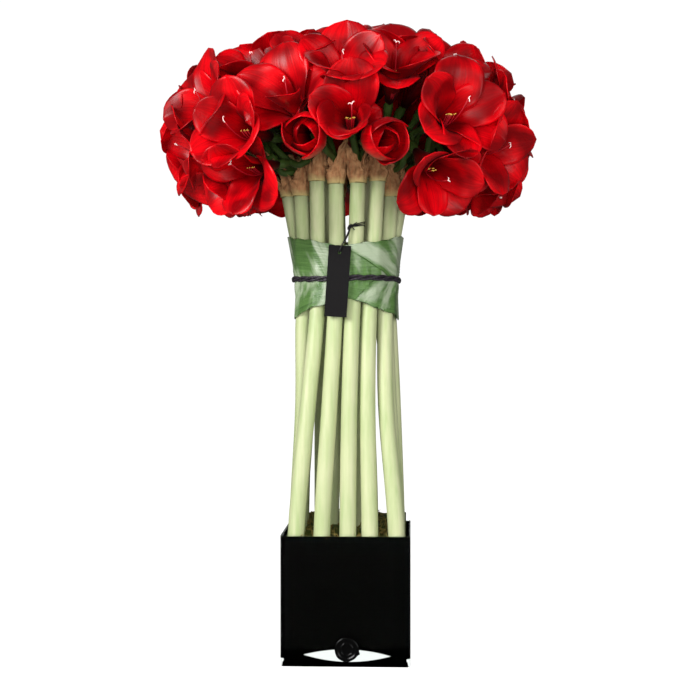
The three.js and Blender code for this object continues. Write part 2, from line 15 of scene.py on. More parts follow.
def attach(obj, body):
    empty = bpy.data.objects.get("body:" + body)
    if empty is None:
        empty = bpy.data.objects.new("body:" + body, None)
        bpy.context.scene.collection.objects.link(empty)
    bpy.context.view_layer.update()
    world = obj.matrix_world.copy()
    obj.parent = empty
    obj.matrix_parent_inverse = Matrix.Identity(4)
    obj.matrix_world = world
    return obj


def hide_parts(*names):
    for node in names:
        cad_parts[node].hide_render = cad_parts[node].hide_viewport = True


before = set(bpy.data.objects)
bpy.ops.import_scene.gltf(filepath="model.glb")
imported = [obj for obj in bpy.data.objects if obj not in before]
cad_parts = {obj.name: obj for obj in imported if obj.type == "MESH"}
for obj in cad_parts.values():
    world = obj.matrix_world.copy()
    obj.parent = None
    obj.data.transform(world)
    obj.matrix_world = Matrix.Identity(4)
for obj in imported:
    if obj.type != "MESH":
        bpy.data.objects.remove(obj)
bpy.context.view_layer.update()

bl_info = {
    "name": "Amaryllis bouquet",
    "version": (1, 0, 0),
    "blender": (4, 5, 0),
    "location": "View3D > Sidebar > Bouquet",
    "description": "Builds a tied bunch of amaryllis in a glass cube, piece by piece",
    "category": "Add Mesh",
}

MM = 0.001
UP = np.array([0.0, 0.0, 1.0])

# The stems' feet are in the foam. Their middles are set at the vase's rim, twice above it, and at
# the tie.
FOOT = 45
TIE_HEIGHT = 596
STEM_LEVELS = (205, 392, 523, TIE_HEIGHT)

# Each stem's middle at those heights, and at its neck.
STEMS = {
    "01": ([(-78, -8), (-66, -4), (-68, -2), (-70, -2)], (-94, -8, 729)),
    "02": ([(-78, -42), (-70, -30), (-70, -30), (-66, -31)], (-72, -44, 727)),
    "03": ([(-77, -76), (-60, -68), (-47, -60), (-44, -55)], (-45, -75, 747)),
    "04": ([(-37, -78), (-26, -72), (-18, -69), (-15, -68)], (-15, -82, 742)),
    "05": ([(3, -78), (5, -73), (9, -69), (13, -68)], (19, -84, 743)),
    "06": ([(37, -76), (33, -66), (35, -60), (39, -57)], (49, -68, 747)),
    "07": ([(78, -74), (62, -55), (60, -42), (61, -33)], (70, -38, 726)),
    "08": ([(78, -40), (66, -22), (61, -8), (62, -3)], (84, -4, 726)),
    "09": ([(78, 4), (72, 12), (66, 22), (63, 31)], (83, 40, 735)),
    "10": ([(78, 48), (68, 50), (54, 52), (44, 54)], (58, 72, 741)),
    "11": ([(34, 77), (28, 74), (20, 70), (16, 68)], (21, 90, 730)),
    "12": ([(-4, 78), (-8, 74), (-12, 70), (-16, 68)], (-21, 90, 739)),
    "13": ([(-46, 77), (-46, 72), (-45, 60), (-44, 54)], (-58, 72, 728)),
    "14": ([(-78, 40), (-72, 36), (-66, 32), (-63, 31)], (-83, 40, 738)),
    "15": ([(-28, 10), (-24, 8), (-21, 6), (-20, 6)], (-42, 8, 800)),
    "16": ([(24, 6), (22, 6), (20, 6), (20, 6)], (40, 10, 800)),
}

# Three blooms to a stem. Place of the mouth: degrees round from the front, distance from the
# middle, height. Then where it faces, in degrees round and up, and its form.
BLOOMS = {
    "01": [
        (-86, 256, 850, -88, 8, "open"),
        (-90, 244, 768, -84, -20, "half"),
        (-100, 208, 906, -92, 38, "open"),
    ],
    "02": [
        (-62, 248, 864, -54, 18, "open"),
        (-70, 256, 794, -66, -10, "half"),
        (-60, 216, 722, -54, -36, "half"),
    ],
    "03": [
        (-42, 242, 812, -38, 2, "half"),
        (-54, 176, 918, -42, 44, "open"),
        (-43, 228, 752, -42, -12, "open"),
    ],
    "04": [
        (-22, 226, 864, -22, 26, "open"),
        (-13, 254, 796, -10, -6, "rose"),
        (-24, 132, 928, -12, 54, "half"),
    ],
    "05": [(0, 186, 904, 0, 38, "half"), (30, 162, 922, 14, 44, "open"), (3, 220, 826, 0, 6, "open")],
    "06": [
        (17, 256, 788, 24, -5, "rose"),
        (54, 100, 948, 26, 66, "half"),
        (60, 184, 912, 42, 40, "open"),
    ],
    "07": [
        (44, 250, 838, 36, 10, "open"),
        (40, 220, 738, 32, -38, "half"),
        (86, 212, 904, 90, 38, "half"),
    ],
    "08": [
        (78, 258, 856, 76, 16, "open"),
        (64, 256, 788, 56, -14, "half"),
        (84, 220, 732, 76, -44, "half"),
    ],
    "09": [
        (102, 254, 776, 102, -12, "open"),
        (104, 256, 850, 104, 14, "half"),
        (118, 204, 910, 114, 42, "open"),
    ],
    "10": [
        (126, 228, 744, 126, -12, "half"),
        (130, 256, 828, 130, 10, "open"),
        (146, 204, 908, 146, 42, "half"),
    ],
    "11": [
        (152, 228, 744, 152, -12, "open"),
        (154, 256, 828, 154, 10, "half"),
        (174, 204, 908, 174, 42, "open"),
    ],
    "12": [
        (-180, 228, 744, -180, -12, "half"),
        (178, 256, 828, 178, 10, "open"),
        (-158, 204, 908, -158, 42, "half"),
    ],
    "13": [
        (-146, 228, 742, -146, -12, "open"),
        (-156, 256, 828, -156, 10, "open"),
        (-132, 204, 908, -134, 42, "open"),
    ],
    "14": [
        (-120, 228, 742, -120, -12, "half"),
        (-132, 256, 828, -130, 10, "open"),
        (-112, 250, 844, -112, 14, "half"),
    ],
    "15": [
        (-74, 122, 944, -62, 64, "open"),
        (-118, 114, 948, -114, 64, "half"),
        (-170, 102, 950, -170, 66, "open"),
    ],
    "16": [
        (8, 50, 960, 0, 78, "half"),
        (102, 132, 942, 100, 58, "open"),
        (156, 114, 948, 150, 64, "half"),
    ],
}

# A bloom's form. Its petals leave the flower's axis at the angle root, in degrees, and end at the
# angle tip, or at the angle tight where there is no room to open. Then, in order: their lengths as
# a share of a full-grown petal's, outer and inner; how bluntly they end; the part of the width's
# curve that they use, as a start and a span; how far round the axis a half may wrap, in radians;
# how fast they flatten towards the tip; how the tip bends back, in degrees, as a least value and
# a range; how far the margin ripples; how far one margin lies under the next petal; and how far
# they twist and sway.
LOOSE = {
    "lengths": (1, 1),
    "blunt": 0,
    "profile": (0, 1),
    "wrap": 1.3,
    "flatten": 60,
    "recurve": (-12, 60),
    "ripple": 1,
    "lap": 0,
    "twist": 0.6,
    "sway": 18,
}
FORMS = {
    "open": {**LOOSE, "root": 12, "tip": 82, "tight": 14},
    "half": {**LOOSE, "root": 14, "tip": 56, "tight": 8},
    "rose": {
        "root": 44,
        "tip": -26,
        "tight": -34,
        "lengths": (0.7, 0.58),
        "blunt": 0.08,
        "profile": (0.1, 0.74),
        "wrap": 1.6,
        "flatten": 0,
        "recurve": (-20, 30),
        "ripple": 0.4,
        "lap": 6,
        "twist": 0,
        "sway": 0,
    },
}

# A bloom's petals start this far behind its mouth, its ovary lies behind them, and the three
# stalks start this far above the stem's neck.
BLOOM_DEPTH = 85
OVARY_DEPTH = 10
HUB_ABOVE_NECK = 7.2
FILAMENTS = 6

# Three outer petals are wide, three inner ones narrower and more upright.
OUTER, INNER = 0, 1
TIP_LIP = (0, -12)
ROOT_OUT = (4.6, 3.0)
PETAL_GRID = (14, 26)

# Petals keep this far from other blooms' stalks and from the stems' necks, and under the bunch
# they stay above a plane that rises this much from front to back.
STALK_CLEARANCE = 5
NECK_CLEARANCE = 20
UNDERSIDE_RISE = 0.083

# The sizes and openings that a petal is tried at, from the fullest down.
PETAL_SIZES = np.arange(1.08, 0.55, -0.04)
PETAL_OPENINGS = np.arange(1.0, -0.01, -0.1)

# A sheath has three papery parts: two stand and one leans out. In order: how far a part leans, as
# a least value and a range; its height; how much it narrows, as a least value and a range; how
# much its fold closes upwards; how far round the neck its half reaches, in radians; its droop.
STANDING = {
    "leans": (3, 9),
    "tall": 62,
    "narrows": (0.45, 0.25),
    "closes": -0.12,
    "wraps": 1.75,
    "droops": 0,
}
LEANING = {
    "leans": (30, 22),
    "tall": 72,
    "narrows": (0.88, 0),
    "closes": 0.55,
    "wraps": 1.0,
    "droops": 0.12,
}
# On the left of the bunch it leans far out, and in the middle there is less room.
LONG_BRACTS = ("01", "02")
LONG_BRACT = (62, 84)
MIDDLE_STEMS = ("15", "16")
HUSK_GRID = (24, 26)
HUSK_THICK = 0.4
SHEATH_RADIUS = 13.2

# The leaf starts this many degrees right of the front. Between two shares of its length it lifts
# onto its own first turn.
BAND_START = 75
LAP_LIFT = 1.6
LAP_START, LAP_END = 0.72, 0.84
BAND_GRID = (300, 30)
PLEATS = 27
PLEAT_DEPTH = 2.0

# The tie is a cord of twisted strands, and its middle lies this far off the leaf.
CORD_STRANDS = 3
CORD_TWISTS = 8
STRAND_RADIUS = 1.9
CORD_OUT = 2.6

# The string's knot beside the stem, its way in front of the card, and its end in the card's hole.
STRING_STEM = "05"
STRING_HEIGHT = 676
STRING_KNOT = np.array([8.3, -90.7, STRING_HEIGHT])
STRING_HOLE = np.array([-9.0, -91.4, 634.9])
STRING_RADIUS = 0.8
STRING_ROUTE = (
    STRING_KNOT,
    (STRING_KNOT + STRING_HOLE) / 2 + (0, -2.35, 0),
    STRING_HOLE + (0, -2.8, 4),
    STRING_HOLE + (0, -1.2, 0.3),
    STRING_HOLE + (0, 1.6, 0),
)
SECOND_ROUTE = (
    STRING_KNOT,
    STRING_KNOT + (-5, -1.4, -16),
    STRING_HOLE + (3, -3.2, 9),
    STRING_HOLE + (0.8, -1.6, 0.6),
)
# Each turn round the stem: how far it tilts and how far it lies above the knot.
STRING_TURNS = ((1.6, -0.6), (3.2, 0.6), (4.2, 2.4))
TURN_RADIUS = 13.2
KNOT_COILS = 6
TAIL_ENDS = ((10, -3, 5), (6, -4, -7), (-3, -3, -13))

# The vase's rounded edges, what counts as near one of its faces, and the lining in it.
EDGE_ROUND = 0.9
NEAR = 0.01
LINING_WALL = 1.2
LINING_FLOOR = 4

# The moss reaches this far from the middle and rises from its front to its back.
MOSS_REACH = 92.6
MOSS_GRID = (60, 60)
MOSS_FRONT = 194
MOSS_RISE = 20
MOSS_UNDERSIDE = 180
MOSS_STRANDS = 420

# The seal's middle on the vase, and its section: radii and depths from the middle of its face,
# over its raised rim, to the middle of its back.
SEAL_PLACE = (2.4, -100.3, 27)
SEAL_RADII = np.array([0, 8.5, 9.3, 10.1, 13.2, 14.2, 16.2, 17.6, 18.7, 19.0, 18.6, 0.0])
SEAL_DEPTHS = np.array([2.1, 2.1, 2.6, 2.1, 2.1, 2.9, 3.5, 3.3, 2.2, 1.0, 0.05, 0.05])
SEAL_GRID = (96, 22)

# The camera, worked out from the vase's front face and rim in the photograph: its lens and sensor,
# the picture's side and drop in pixels, its place in metres and its turn in degrees. The floor
# reaches this many metres from the middle, and lies a hair below the vase.
LENS = 74
SENSOR = 36
PICTURE_SIDE = 700
PICTURE_DROP = 13
CAMERA_PLACE = (0.1, -2.3, 0.505)
CAMERA_TURN = 2.41
FLOOR_REACH = 8
FLOOR_DROP = 0.4

# Each lamp's place and size in metres, and which light sets its power, times how much.
LAMPS = {
    "key": ((-1.7, -2.0, 1.5), 1.0, "key", 1),
    "fill": ((1.9, -1.9, 0.9), 1.4, "fill", 1),
    "front": ((0.25, -2.7, 0.7), 0.9, "fill", 2.2),
    "back": ((0.3, 1.6, 2.6), 1.6, "fill", 0.4),
}
LAMPS_AIM = (0, 0, 0.62)


# Maths


def point(*values):
    return np.array(values, float)


def unit(vector):
    return vector / np.linalg.norm(vector)


def chance(seed):
    """A number from 0 to 1 that looks random and is the same each time."""
    value = math.sin(seed * 12.9898 + 78.233) * 43758.5453
    return value - math.floor(value)


def smooth(value, low, high):
    t = np.clip((value - low) / (high - low), 0, 1)
    return t * t * (3 - 2 * t)


def direction(round_deg, rise_deg):
    a, e = math.radians(round_deg), math.radians(rise_deg)
    return point(math.sin(a) * math.cos(e), -math.cos(a) * math.cos(e), math.sin(e))


def along_curve(points, count):
    """Points evenly spread on a smooth curve through the given points."""
    line = np.array(points, float)
    ends = np.vstack([2 * line[0] - line[1], line, 2 * line[-1] - line[-2]])
    fine = []
    for i in range(len(line) - 1):
        a, b, c, d = ends[i : i + 4]
        t = np.linspace(0, 1, 16, endpoint=False)[:, None]
        bow = (2 * a - 5 * b + 4 * c - d) * t**2 + (3 * b - a - 3 * c + d) * t**3
        fine.append(0.5 * (2 * b + (c - a) * t + bow))
    fine = np.vstack(fine + [line[-1:]])
    run = np.concatenate([[0], np.cumsum(np.linalg.norm(np.diff(fine, axis=0), axis=1))])
    at = np.linspace(0, run[-1], count)
    return np.stack([np.interp(at, run, fine[:, k]) for k in range(3)], axis=1)


# Meshes


def add_sheet(bm, columns, rows, place):
    """Adds a sheet whose points place(u, v) sets, u and v from 0 to 1, and gives its faces."""
    uv = bm.loops.layers.uv.get("UVMap") or bm.loops.layers.uv.new("UVMap")
    made = bmesh.ops.create_grid(bm, x_segments=columns, y_segments=rows, size=0.5)["verts"]
    flat = np.array([vert.co[:2] for vert in made]) + 0.5
    for vert, at in zip(made, flat):
        for loop in vert.link_loops:
            loop[uv].uv = at
    for vert, at in zip(made, place(flat[:, 0], flat[:, 1]) * MM):
        vert.co = at
    return list(dict.fromkeys(face for vert in made for face in vert.link_faces))


def add_tube(bm, line, radii, sides, material=0):
    """Adds a round tube along a line, with a radius at each point. close_tubes shuts it."""
    line = np.array(line, float)
    radii = np.broadcast_to(radii, len(line))
    ahead = np.gradient(line, axis=0)
    ahead /= np.linalg.norm(ahead, axis=1)[:, None]
    side = np.cross(ahead[0], unit(point(0.31, 0.47, 0.83)))
    sides_at = []
    for tangent in ahead:
        side = unit(side - tangent * side.dot(tangent))
        sides_at.append(side)
    sides_at = np.array(sides_at)
    others_at = np.cross(ahead, sides_at)

    def place(u, v):
        at = np.rint(v * (len(line) - 1)).astype(int)
        angle = (2 * math.pi * u)[:, None]
        ring = np.cos(angle) * sides_at[at] + np.sin(angle) * others_at[at]
        return line[at] + radii[at][:, None] * ring

    for face in add_sheet(bm, sides, len(line) - 1, place):
        face.material_index = material


def close_tubes(bm):
    """Joins the seams of the tubes in a mesh and fills their ends."""
    bmesh.ops.remove_doubles(bm, verts=bm.verts[:], dist=1e-6)
    rims = [edge for edge in bm.edges if edge.is_boundary]
    for face in bmesh.ops.holes_fill(bm, edges=rims, sides=0)["faces"]:
        face.material_index = face.edges[0].link_faces[0].material_index
    bmesh.ops.recalc_face_normals(bm, faces=bm.faces[:])


def join(bm, other):
    """Moves the other mesh into the first."""
    carrier = bpy.data.meshes.new("carrier")
    other.to_mesh(carrier)
    other.free()
    bm.from_mesh(carrier)
    bpy.data.meshes.remove(carrier)


def thicken(bm, thickness):
    """Turns every open sheet into a closed blade."""
    bmesh.ops.solidify(bm, geom=bm.faces[:], thickness=thickness * MM)


# Faces broader than this, in square metres, stay flat, so that glass shows what is behind it.
BROAD_FACE = 2e-3


def finish_piece(name, bm, materials, node_names):
    """Makes the piece from its mesh, in its place, and lets it stand for its CAD nodes."""
    mesh = bpy.data.meshes.new(name)
    bm.to_mesh(mesh)
    bm.free()
    for polygon in mesh.polygons:
        polygon.use_smooth = polygon.area < BROAD_FACE
    for finish in materials:
        mesh.materials.append(finish)
    piece = bpy.data.objects.new(name, mesh)
    bpy.context.scene.collection.objects.link(piece)
    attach(piece, "root")
    if node_names:
        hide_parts(*node_names)
    return piece


# Materials


def linear(code):
    """An sRGB colour such as "#B80716" as linear red, green, blue and alpha."""
    parts = [int(code[i : i + 2], 16) / 255 for i in (1, 3, 5)]
    return [c / 12.92 if c <= 0.04045 else ((c + 0.055) / 1.055) ** 2.4 for c in parts] + [1.0]


def per_metre(millimetres):
    """A pattern's scale, from the real size of one of its grains."""
    return 1 / (millimetres * MM)


def feed(node, inputs):
    """Sets a node's inputs, each to a value or to the socket that feeds it."""
    for key, value in inputs.items():
        if isinstance(value, bpy.types.NodeSocket):
            node.id_data.links.new(value, node.inputs[key])
        else:
            node.inputs[key].default_value = value


def add_node(tree, kind, inputs, out=0, **settings):
    """Adds a shader node with its settings and inputs, and gives one of its outputs."""
    made = tree.nodes.new(f"ShaderNode{kind}")
    for name, value in settings.items():
        setattr(made, name, value)
    feed(made, inputs)
    return made.outputs[out]


def new_material(name):
    """A new material, its node tree and its shader."""
    material = bpy.data.materials.new(name)
    material.use_nodes = True
    return material, material.node_tree, material.node_tree.nodes["Principled BSDF"]


# The inputs of a node that blends two colours, and what else it needs.
SHARE, FROM, TO = 0, 6, 7
BLEND = {"data_type": "RGBA", "out": 2}


def petal_satin(flowers):
    """Amaryllis petal: satin, finely veined from root to tip, and almost black towards its root: partly
    the flower's own dark centre, partly painted shade deep between the petals.
    """
    material, tree, shader = new_material("amaryllis_petal_satin")
    uv = add_node(tree, "UVMap", {}, uv_map="UVMap")
    height = add_node(tree, "SeparateXYZ", {0: uv}, out=1)
    # About thirty veins across a petal some 80 mm wide, each running most of its length.
    stretched = add_node(tree, "Mapping", {0: uv, "Scale": (34, 1.6, 1)})
    veins = add_node(tree, "TexNoise", {"Vector": stretched, "Scale": 1.0, "Detail": 2.0})
    place = add_node(tree, "TexCoord", {}, out="Object")
    clouds = add_node(tree, "TexNoise", {"Vector": place, "Scale": per_metre(38.46), "Detail": 1.0})
    blush = add_node(tree, "MapRange", {"Value": clouds, "From Min": 0.36, "From Max": 0.64})
    tone = add_node(tree, "Mix", {SHARE: blush, FROM: flowers.deep, TO: flowers.bright}, **BLEND)
    lined = add_node(
        tree, "MapRange", {"Value": veins, "From Min": 0.42, "From Max": 0.68, "To Max": 0.42}
    )
    veined = add_node(tree, "Mix", {SHARE: lined, FROM: tone, TO: flowers.vein}, **BLEND)
    # Painted shade: over the lower two thirds of each petal the colour runs into the near-black centre
    # colour. This is partly the flower's own dark centre and partly shade painted in where the petals
    # close round each other.
    mouth = add_node(
        tree,
        "MapRange",
        {"Value": height, "From Min": 0.04, "From Max": 0.68},
        interpolation_type="SMOOTHSTEP",
    )
    whole = add_node(tree, "Mix", {SHARE: mouth, FROM: flowers.throat_and_painted_shade, TO: veined}, **BLEND)
    relief = add_node(tree, "Bump", {"Strength": 0.35, "Distance": 0.6 * MM, "Height": veins})
    feed(
        shader,
        {
            "Base Color": whole,
            "Normal": relief,
            "Roughness": 0.34,
            "Specular IOR Level": 0.2,
            "Sheen Weight": 0.02,
            "Sheen Roughness": 0.4,
            "Sheen Tint": linear("#FF9AA5"),
        },
    )
    return material


def streaked_green(name, light, dark, stretch, roughness):
    """Waxy plant skin: a soft shine, and streaks along it that are stretch times longer than wide."""
    material, tree, shader = new_material(name)
    place = add_node(tree, "TexCoord", {}, out="Object")
    scaled = add_node(tree, "Mapping", {0: place, "Scale": (1, 1, 1 / stretch)})
    streaks = add_node(tree, "TexNoise", {"Vector": scaled, "Scale": per_metre(6.667), "Detail": 4.0})
    patches = add_node(tree, "TexNoise", {"Vector": place, "Scale": per_metre(111.1), "Detail": 2.0})
    both = add_node(tree, "Math", {0: streaks, 1: patches}, operation="MULTIPLY")
    spread = add_node(
        tree, "MapRange", {"Value": both, "From Min": 0.14, "From Max": 0.4, "To Max": 0.6}
    )
    tone = add_node(tree, "Mix", {SHARE: spread, FROM: light, TO: dark}, **BLEND)
    relief = add_node(tree, "Bump", {"Strength": 0.2, "Distance": 0.4 * MM, "Height": streaks})
    feed(
        shader,
        {"Base Color": tone, "Normal": relief, "Roughness": roughness, "Specular IOR Level": 0.35},
    )
    return material


def dry_husk(stems):
    """Dead flower sheath: dull crumpled paper, ribbed lengthways, brown but green near the stem."""
    material, tree, shader = new_material("dry_papery_husk")
    uv = add_node(tree, "UVMap", {}, uv_map="UVMap")
    height = add_node(tree, "SeparateXYZ", {0: uv}, out=1)
    # Some twenty ribs across a part of the sheath.
    ribbed = add_node(tree, "Mapping", {0: uv, "Scale": (22, 2.5, 1)})
    ribs = add_node(tree, "TexNoise", {"Vector": ribbed, "Scale": 1.0, "Detail": 4.0})
    place = add_node(tree, "TexCoord", {}, out="Object")
    crumple = add_node(tree, "TexNoise", {"Vector": place, "Scale": per_metre(11.11), "Detail": 5.0})
    tone = add_node(tree, "Mix", {SHARE: crumple, FROM: stems.husk_dark, TO: stems.husk_light}, **BLEND)
    lined = add_node(
        tree, "MapRange", {"Value": ribs, "From Min": 0.45, "From Max": 0.7, "To Max": 0.7}
    )
    ribbed_tone = add_node(tree, "Mix", {SHARE: lined, FROM: tone, TO: linear("#8E5638")}, **BLEND)
    fresh = add_node(
        tree, "MapRange", {"Value": height, "From Max": 0.16, "To Min": 0.7, "To Max": 0.0}
    )
    whole = add_node(tree, "Mix", {SHARE: fresh, FROM: ribbed_tone, TO: linear("#B9AE74")}, **BLEND)
    rough = add_node(tree, "Math", {0: ribs, 1: crumple}, operation="ADD")
    relief = add_node(tree, "Bump", {"Strength": 0.8, "Distance": 1.2 * MM, "Height": rough})
    feed(shader, {"Base Color": whole, "Normal": relief, "Roughness": 0.75, "Specular IOR Level": 0.2})
    return material


def ribbed_leaf(band):
    """Broad leathery leaf: shiny and ribbed, with pale broad patches of painted highlight for its gloss.
    """
    material, tree, shader = new_material("ribbed_leaf_painted_sheen")
    uv = add_node(tree, "UVMap", {}, uv_map="UVMap")
    # The ribs run along the leaf, round the bunch, and are about 3 mm apart on a leaf 130 mm wide.
    stretched = add_node(tree, "Mapping", {0: uv, "Scale": (9, 46, 1), "Rotation": (0, 0, 0.05)})
    ribs = add_node(tree, "TexNoise", {"Vector": stretched, "Scale": 1.0, "Detail": 3.0})
    broad = add_node(tree, "Mapping", {0: uv, "Scale": (15, 1.1, 1), "Rotation": (0, 0, 0.06)})
    patches = add_node(
        tree,
        "TexNoise",
        {"Vector": broad, "Scale": 1.0, "Detail": 4.0, "Distortion": 0.25},
    )
    tone = add_node(tree, "Mix", {SHARE: ribs, FROM: band.dark, TO: band.light}, **BLEND)
    # Painted highlight: the pale wax colour is laid on in broad patches to stand for the leaf's shine.
    waxed = add_node(
        tree,
        "MapRange",
        {"Value": patches, "From Min": 0.47, "From Max": 0.6, "To Max": 0.62},
        interpolation_type="SMOOTHSTEP",
    )
    whole = add_node(tree, "Mix", {SHARE: waxed, FROM: tone, TO: band.wax}, **BLEND)
    relief = add_node(tree, "Bump", {"Strength": 0.7, "Distance": 1.2 * MM, "Height": ribs})
    feed(shader, {"Base Color": whole, "Normal": relief, "Roughness": 0.35, "Specular IOR Level": 0.5})
    return material


def grained(name, low, high, grain, depth, strength, roughness, specular=0.5):
    """A surface with one grain, sized and deep in millimetres, in its colour, shine and relief."""
    low, high = linear(low), linear(high)
    material, tree, shader = new_material(name)
    place = add_node(tree, "TexCoord", {}, out="Object")
    noise_grain = add_node(
        tree, "TexNoise", {"Vector": place, "Scale": per_metre(grain), "Detail": 5.0}
    )
    tone = add_node(tree, "Mix", {SHARE: noise_grain, FROM: low, TO: high}, **BLEND)
    shine = add_node(
        tree,
        "MapRange",
        {"Value": noise_grain, "To Min": roughness - 0.08, "To Max": roughness + 0.08},
    )
    relief = add_node(
        tree, "Bump", {"Strength": strength, "Distance": depth * MM, "Height": noise_grain}
    )
    feed(
        shader,
        {"Base Color": tone, "Roughness": shine, "Normal": relief, "Specular IOR Level": specular},
    )
    return material


def seen_directly(tree):
    """A socket that is 1 where the eye looks straight or through glass, else 0."""
    straight = add_node(tree, "LightPath", {}, out="Is Camera Ray")
    through = add_node(tree, "LightPath", {}, out="Is Transmission Ray")
    return add_node(tree, "Math", {0: straight, 1: through}, operation="MAXIMUM")


def lit_table(colour):
    """White acrylic table lit from below: white to the eye, it throws only a little light up."""
    material, tree, shader = new_material("lit_acrylic_table")
    glow = add_node(tree, "MapRange", {"Value": seen_directly(tree), "To Min": 0.04, "To Max": 1.0})
    feed(
        shader,
        {
            "Base Color": colour,
            "Emission Color": (1, 1, 1, 1),
            "Emission Strength": glow,
            "Roughness": 0.8,
            "Specular IOR Level": 0.1,
        },
    )
    return material


def black_lacquer():
    """Black lacquer on the inside of glass: it takes all light, so the glass looks pure black."""
    material, _, shader = new_material("black_lacquer_lining")
    feed(shader, {"Base Color": linear("#000000"), "Roughness": 0.7, "Specular IOR Level": 0.0})
    return material


def clear_glass(colour):
    """Pressed soda-lime glass: clear, with a trace of green, and weak mirror images on its faces."""
    material, _, shader = new_material("clear_pressed_glass")
    feed(
        shader,
        {
            "Base Color": colour,
            "Specular Tint": linear("#3C3C3C"),
            "Roughness": 0.0,
            "IOR": 1.5,
            "Transmission Weight": 1.0,
        },
    )
    return material


# Stems


def stem_line(name):
    path, neck = STEMS[name]
    points = [(x, y, z) for (x, y), z in zip(path, STEM_LEVELS)]
    return np.array([(*path[0], FOOT), *points, neck], float)


def stem_middle(name, height):
    line = stem_line(name)
    return np.stack([np.interp(height, line[:, 2], line[:, k]) for k in range(2)], axis=-1)


def stem_radius(name, height):
    sizes = bpy.context.scene.bouquet_stems
    foot, neck = mm(sizes.foot_radius), mm(sizes.neck_radius)
    return foot + (height - FOOT) / (STEMS[name][1][2] - FOOT) * (neck - foot)


def bundle_reach(angle, height):
    """Distance from the middle to a skin stretched round all stems, at each angle and height."""
    tangents = angle[:, None] + np.radians(np.arange(-80, 81, 4))[None, :]
    farthest = np.full(tangents.shape, -np.inf)
    for name in STEMS:
        middle = stem_middle(name, height)
        radius = stem_radius(name, height)
        out = middle[:, :1] * np.sin(tangents) - middle[:, 1:] * np.cos(tangents)
        farthest = np.maximum(farthest, out + radius[:, None])
    return (farthest / np.cos(tangents - angle[:, None])).min(axis=1)


# Flowers


def hub_top(name):
    return point(*STEMS[name][1]) + HUB_ABOVE_NECK * UP


def all_blooms():
    blooms = []
    for name, rows in BLOOMS.items():
        for round_deg, out, height, azimuth, rise, form in rows:
            axis = direction(azimuth, rise)
            mouth = direction(round_deg, 0) * out + height * UP
            blooms.append(
                {
                    "stem": name,
                    "number": len(blooms) + 1,
                    "axis": axis,
                    "mouth": mouth,
                    "base": mouth - BLOOM_DEPTH * axis,
                    "hub": hub_top(name),
                    "form": form,
                }
            )
    return blooms


def nearest(a, b, c, d):
    """Nearest points of the line from a to b and of each of the lines from c to d."""
    s = np.full(len(c), 0.5)
    for _ in range(30):
        p = a + s[:, None] * (b - a)
        t = np.clip(((p - c) * (d - c)).sum(1) / ((d - c) ** 2).sum(1), 0, 1)
        q = c + t[:, None] * (d - c)
        s = np.clip((q - a) @ (b - a) / (b - a).dot(b - a), 0, 1)
    return a + s[:, None] * (b - a), q


def room_of(bloom, blooms, overlap, lowest):
    """Planes that keep a bloom's petals clear of stalks and stems, and on their side of others."""
    others = [other for other in blooms if other is not bloom]
    necks = [point(*neck) for _, neck in STEMS.values()]
    starts = [o["base"] for o in others] + [o["hub"] for o in others] + [neck - 90 * UP for neck in necks]
    ends = [o["mouth"] for o in others] + [o["base"] for o in others] + [neck + 30 * UP for neck in necks]
    own, theirs = nearest(bloom["base"], bloom["mouth"], np.array(starts), np.array(ends))
    gaps = np.linalg.norm(own - theirs, axis=1)
    normals = (own - theirs) / gaps[:, None]
    halfway = gaps[: len(others)] / 2 - overlap
    stalks = np.full(len(others), STALK_CLEARANCE)
    keep = np.concatenate([halfway, stalks, np.full(len(necks), NECK_CLEARANCE)])
    offsets = (normals * theirs).sum(1) + keep
    under = point(0, -UNDERSIDE_RISE, 1)
    return np.vstack([normals, under]), np.append(offsets, lowest)


def petal_width(s):
    """Half the width along a petal, as a share of its widest."""
    root = 0.3 + 0.7 * np.sin(0.5 * math.pi * np.clip(s / 0.6, 0, 1)) ** 1.2
    tip = np.clip((s - 0.6) / 0.4, 0, 1)
    return root * np.maximum(0, 1 - tip**2.6) ** 0.64


def petal_spine(kind, shape, opening, length, recurve, s):
    """Where a petal runs in the plane of its axis: out from it, along it, and its slope."""
    tip = shape["tight"] + opening * (shape["tip"] + TIP_LIP[kind] - shape["tight"])
    fine = np.linspace(0, 1, 41)
    slope = np.radians(shape["root"] + (tip - shape["root"]) * fine**1.4 + recurve * fine**5)
    piece = length / 40
    out = ROOT_OUT[kind] + np.concatenate([[0], np.cumsum(piece * np.sin(slope[1:]))])
    along = np.concatenate([[0], np.cumsum(piece * np.cos(slope[1:]))])
    return np.interp(s, fine, out), np.interp(s, fine, along), np.interp(s, fine, slope)


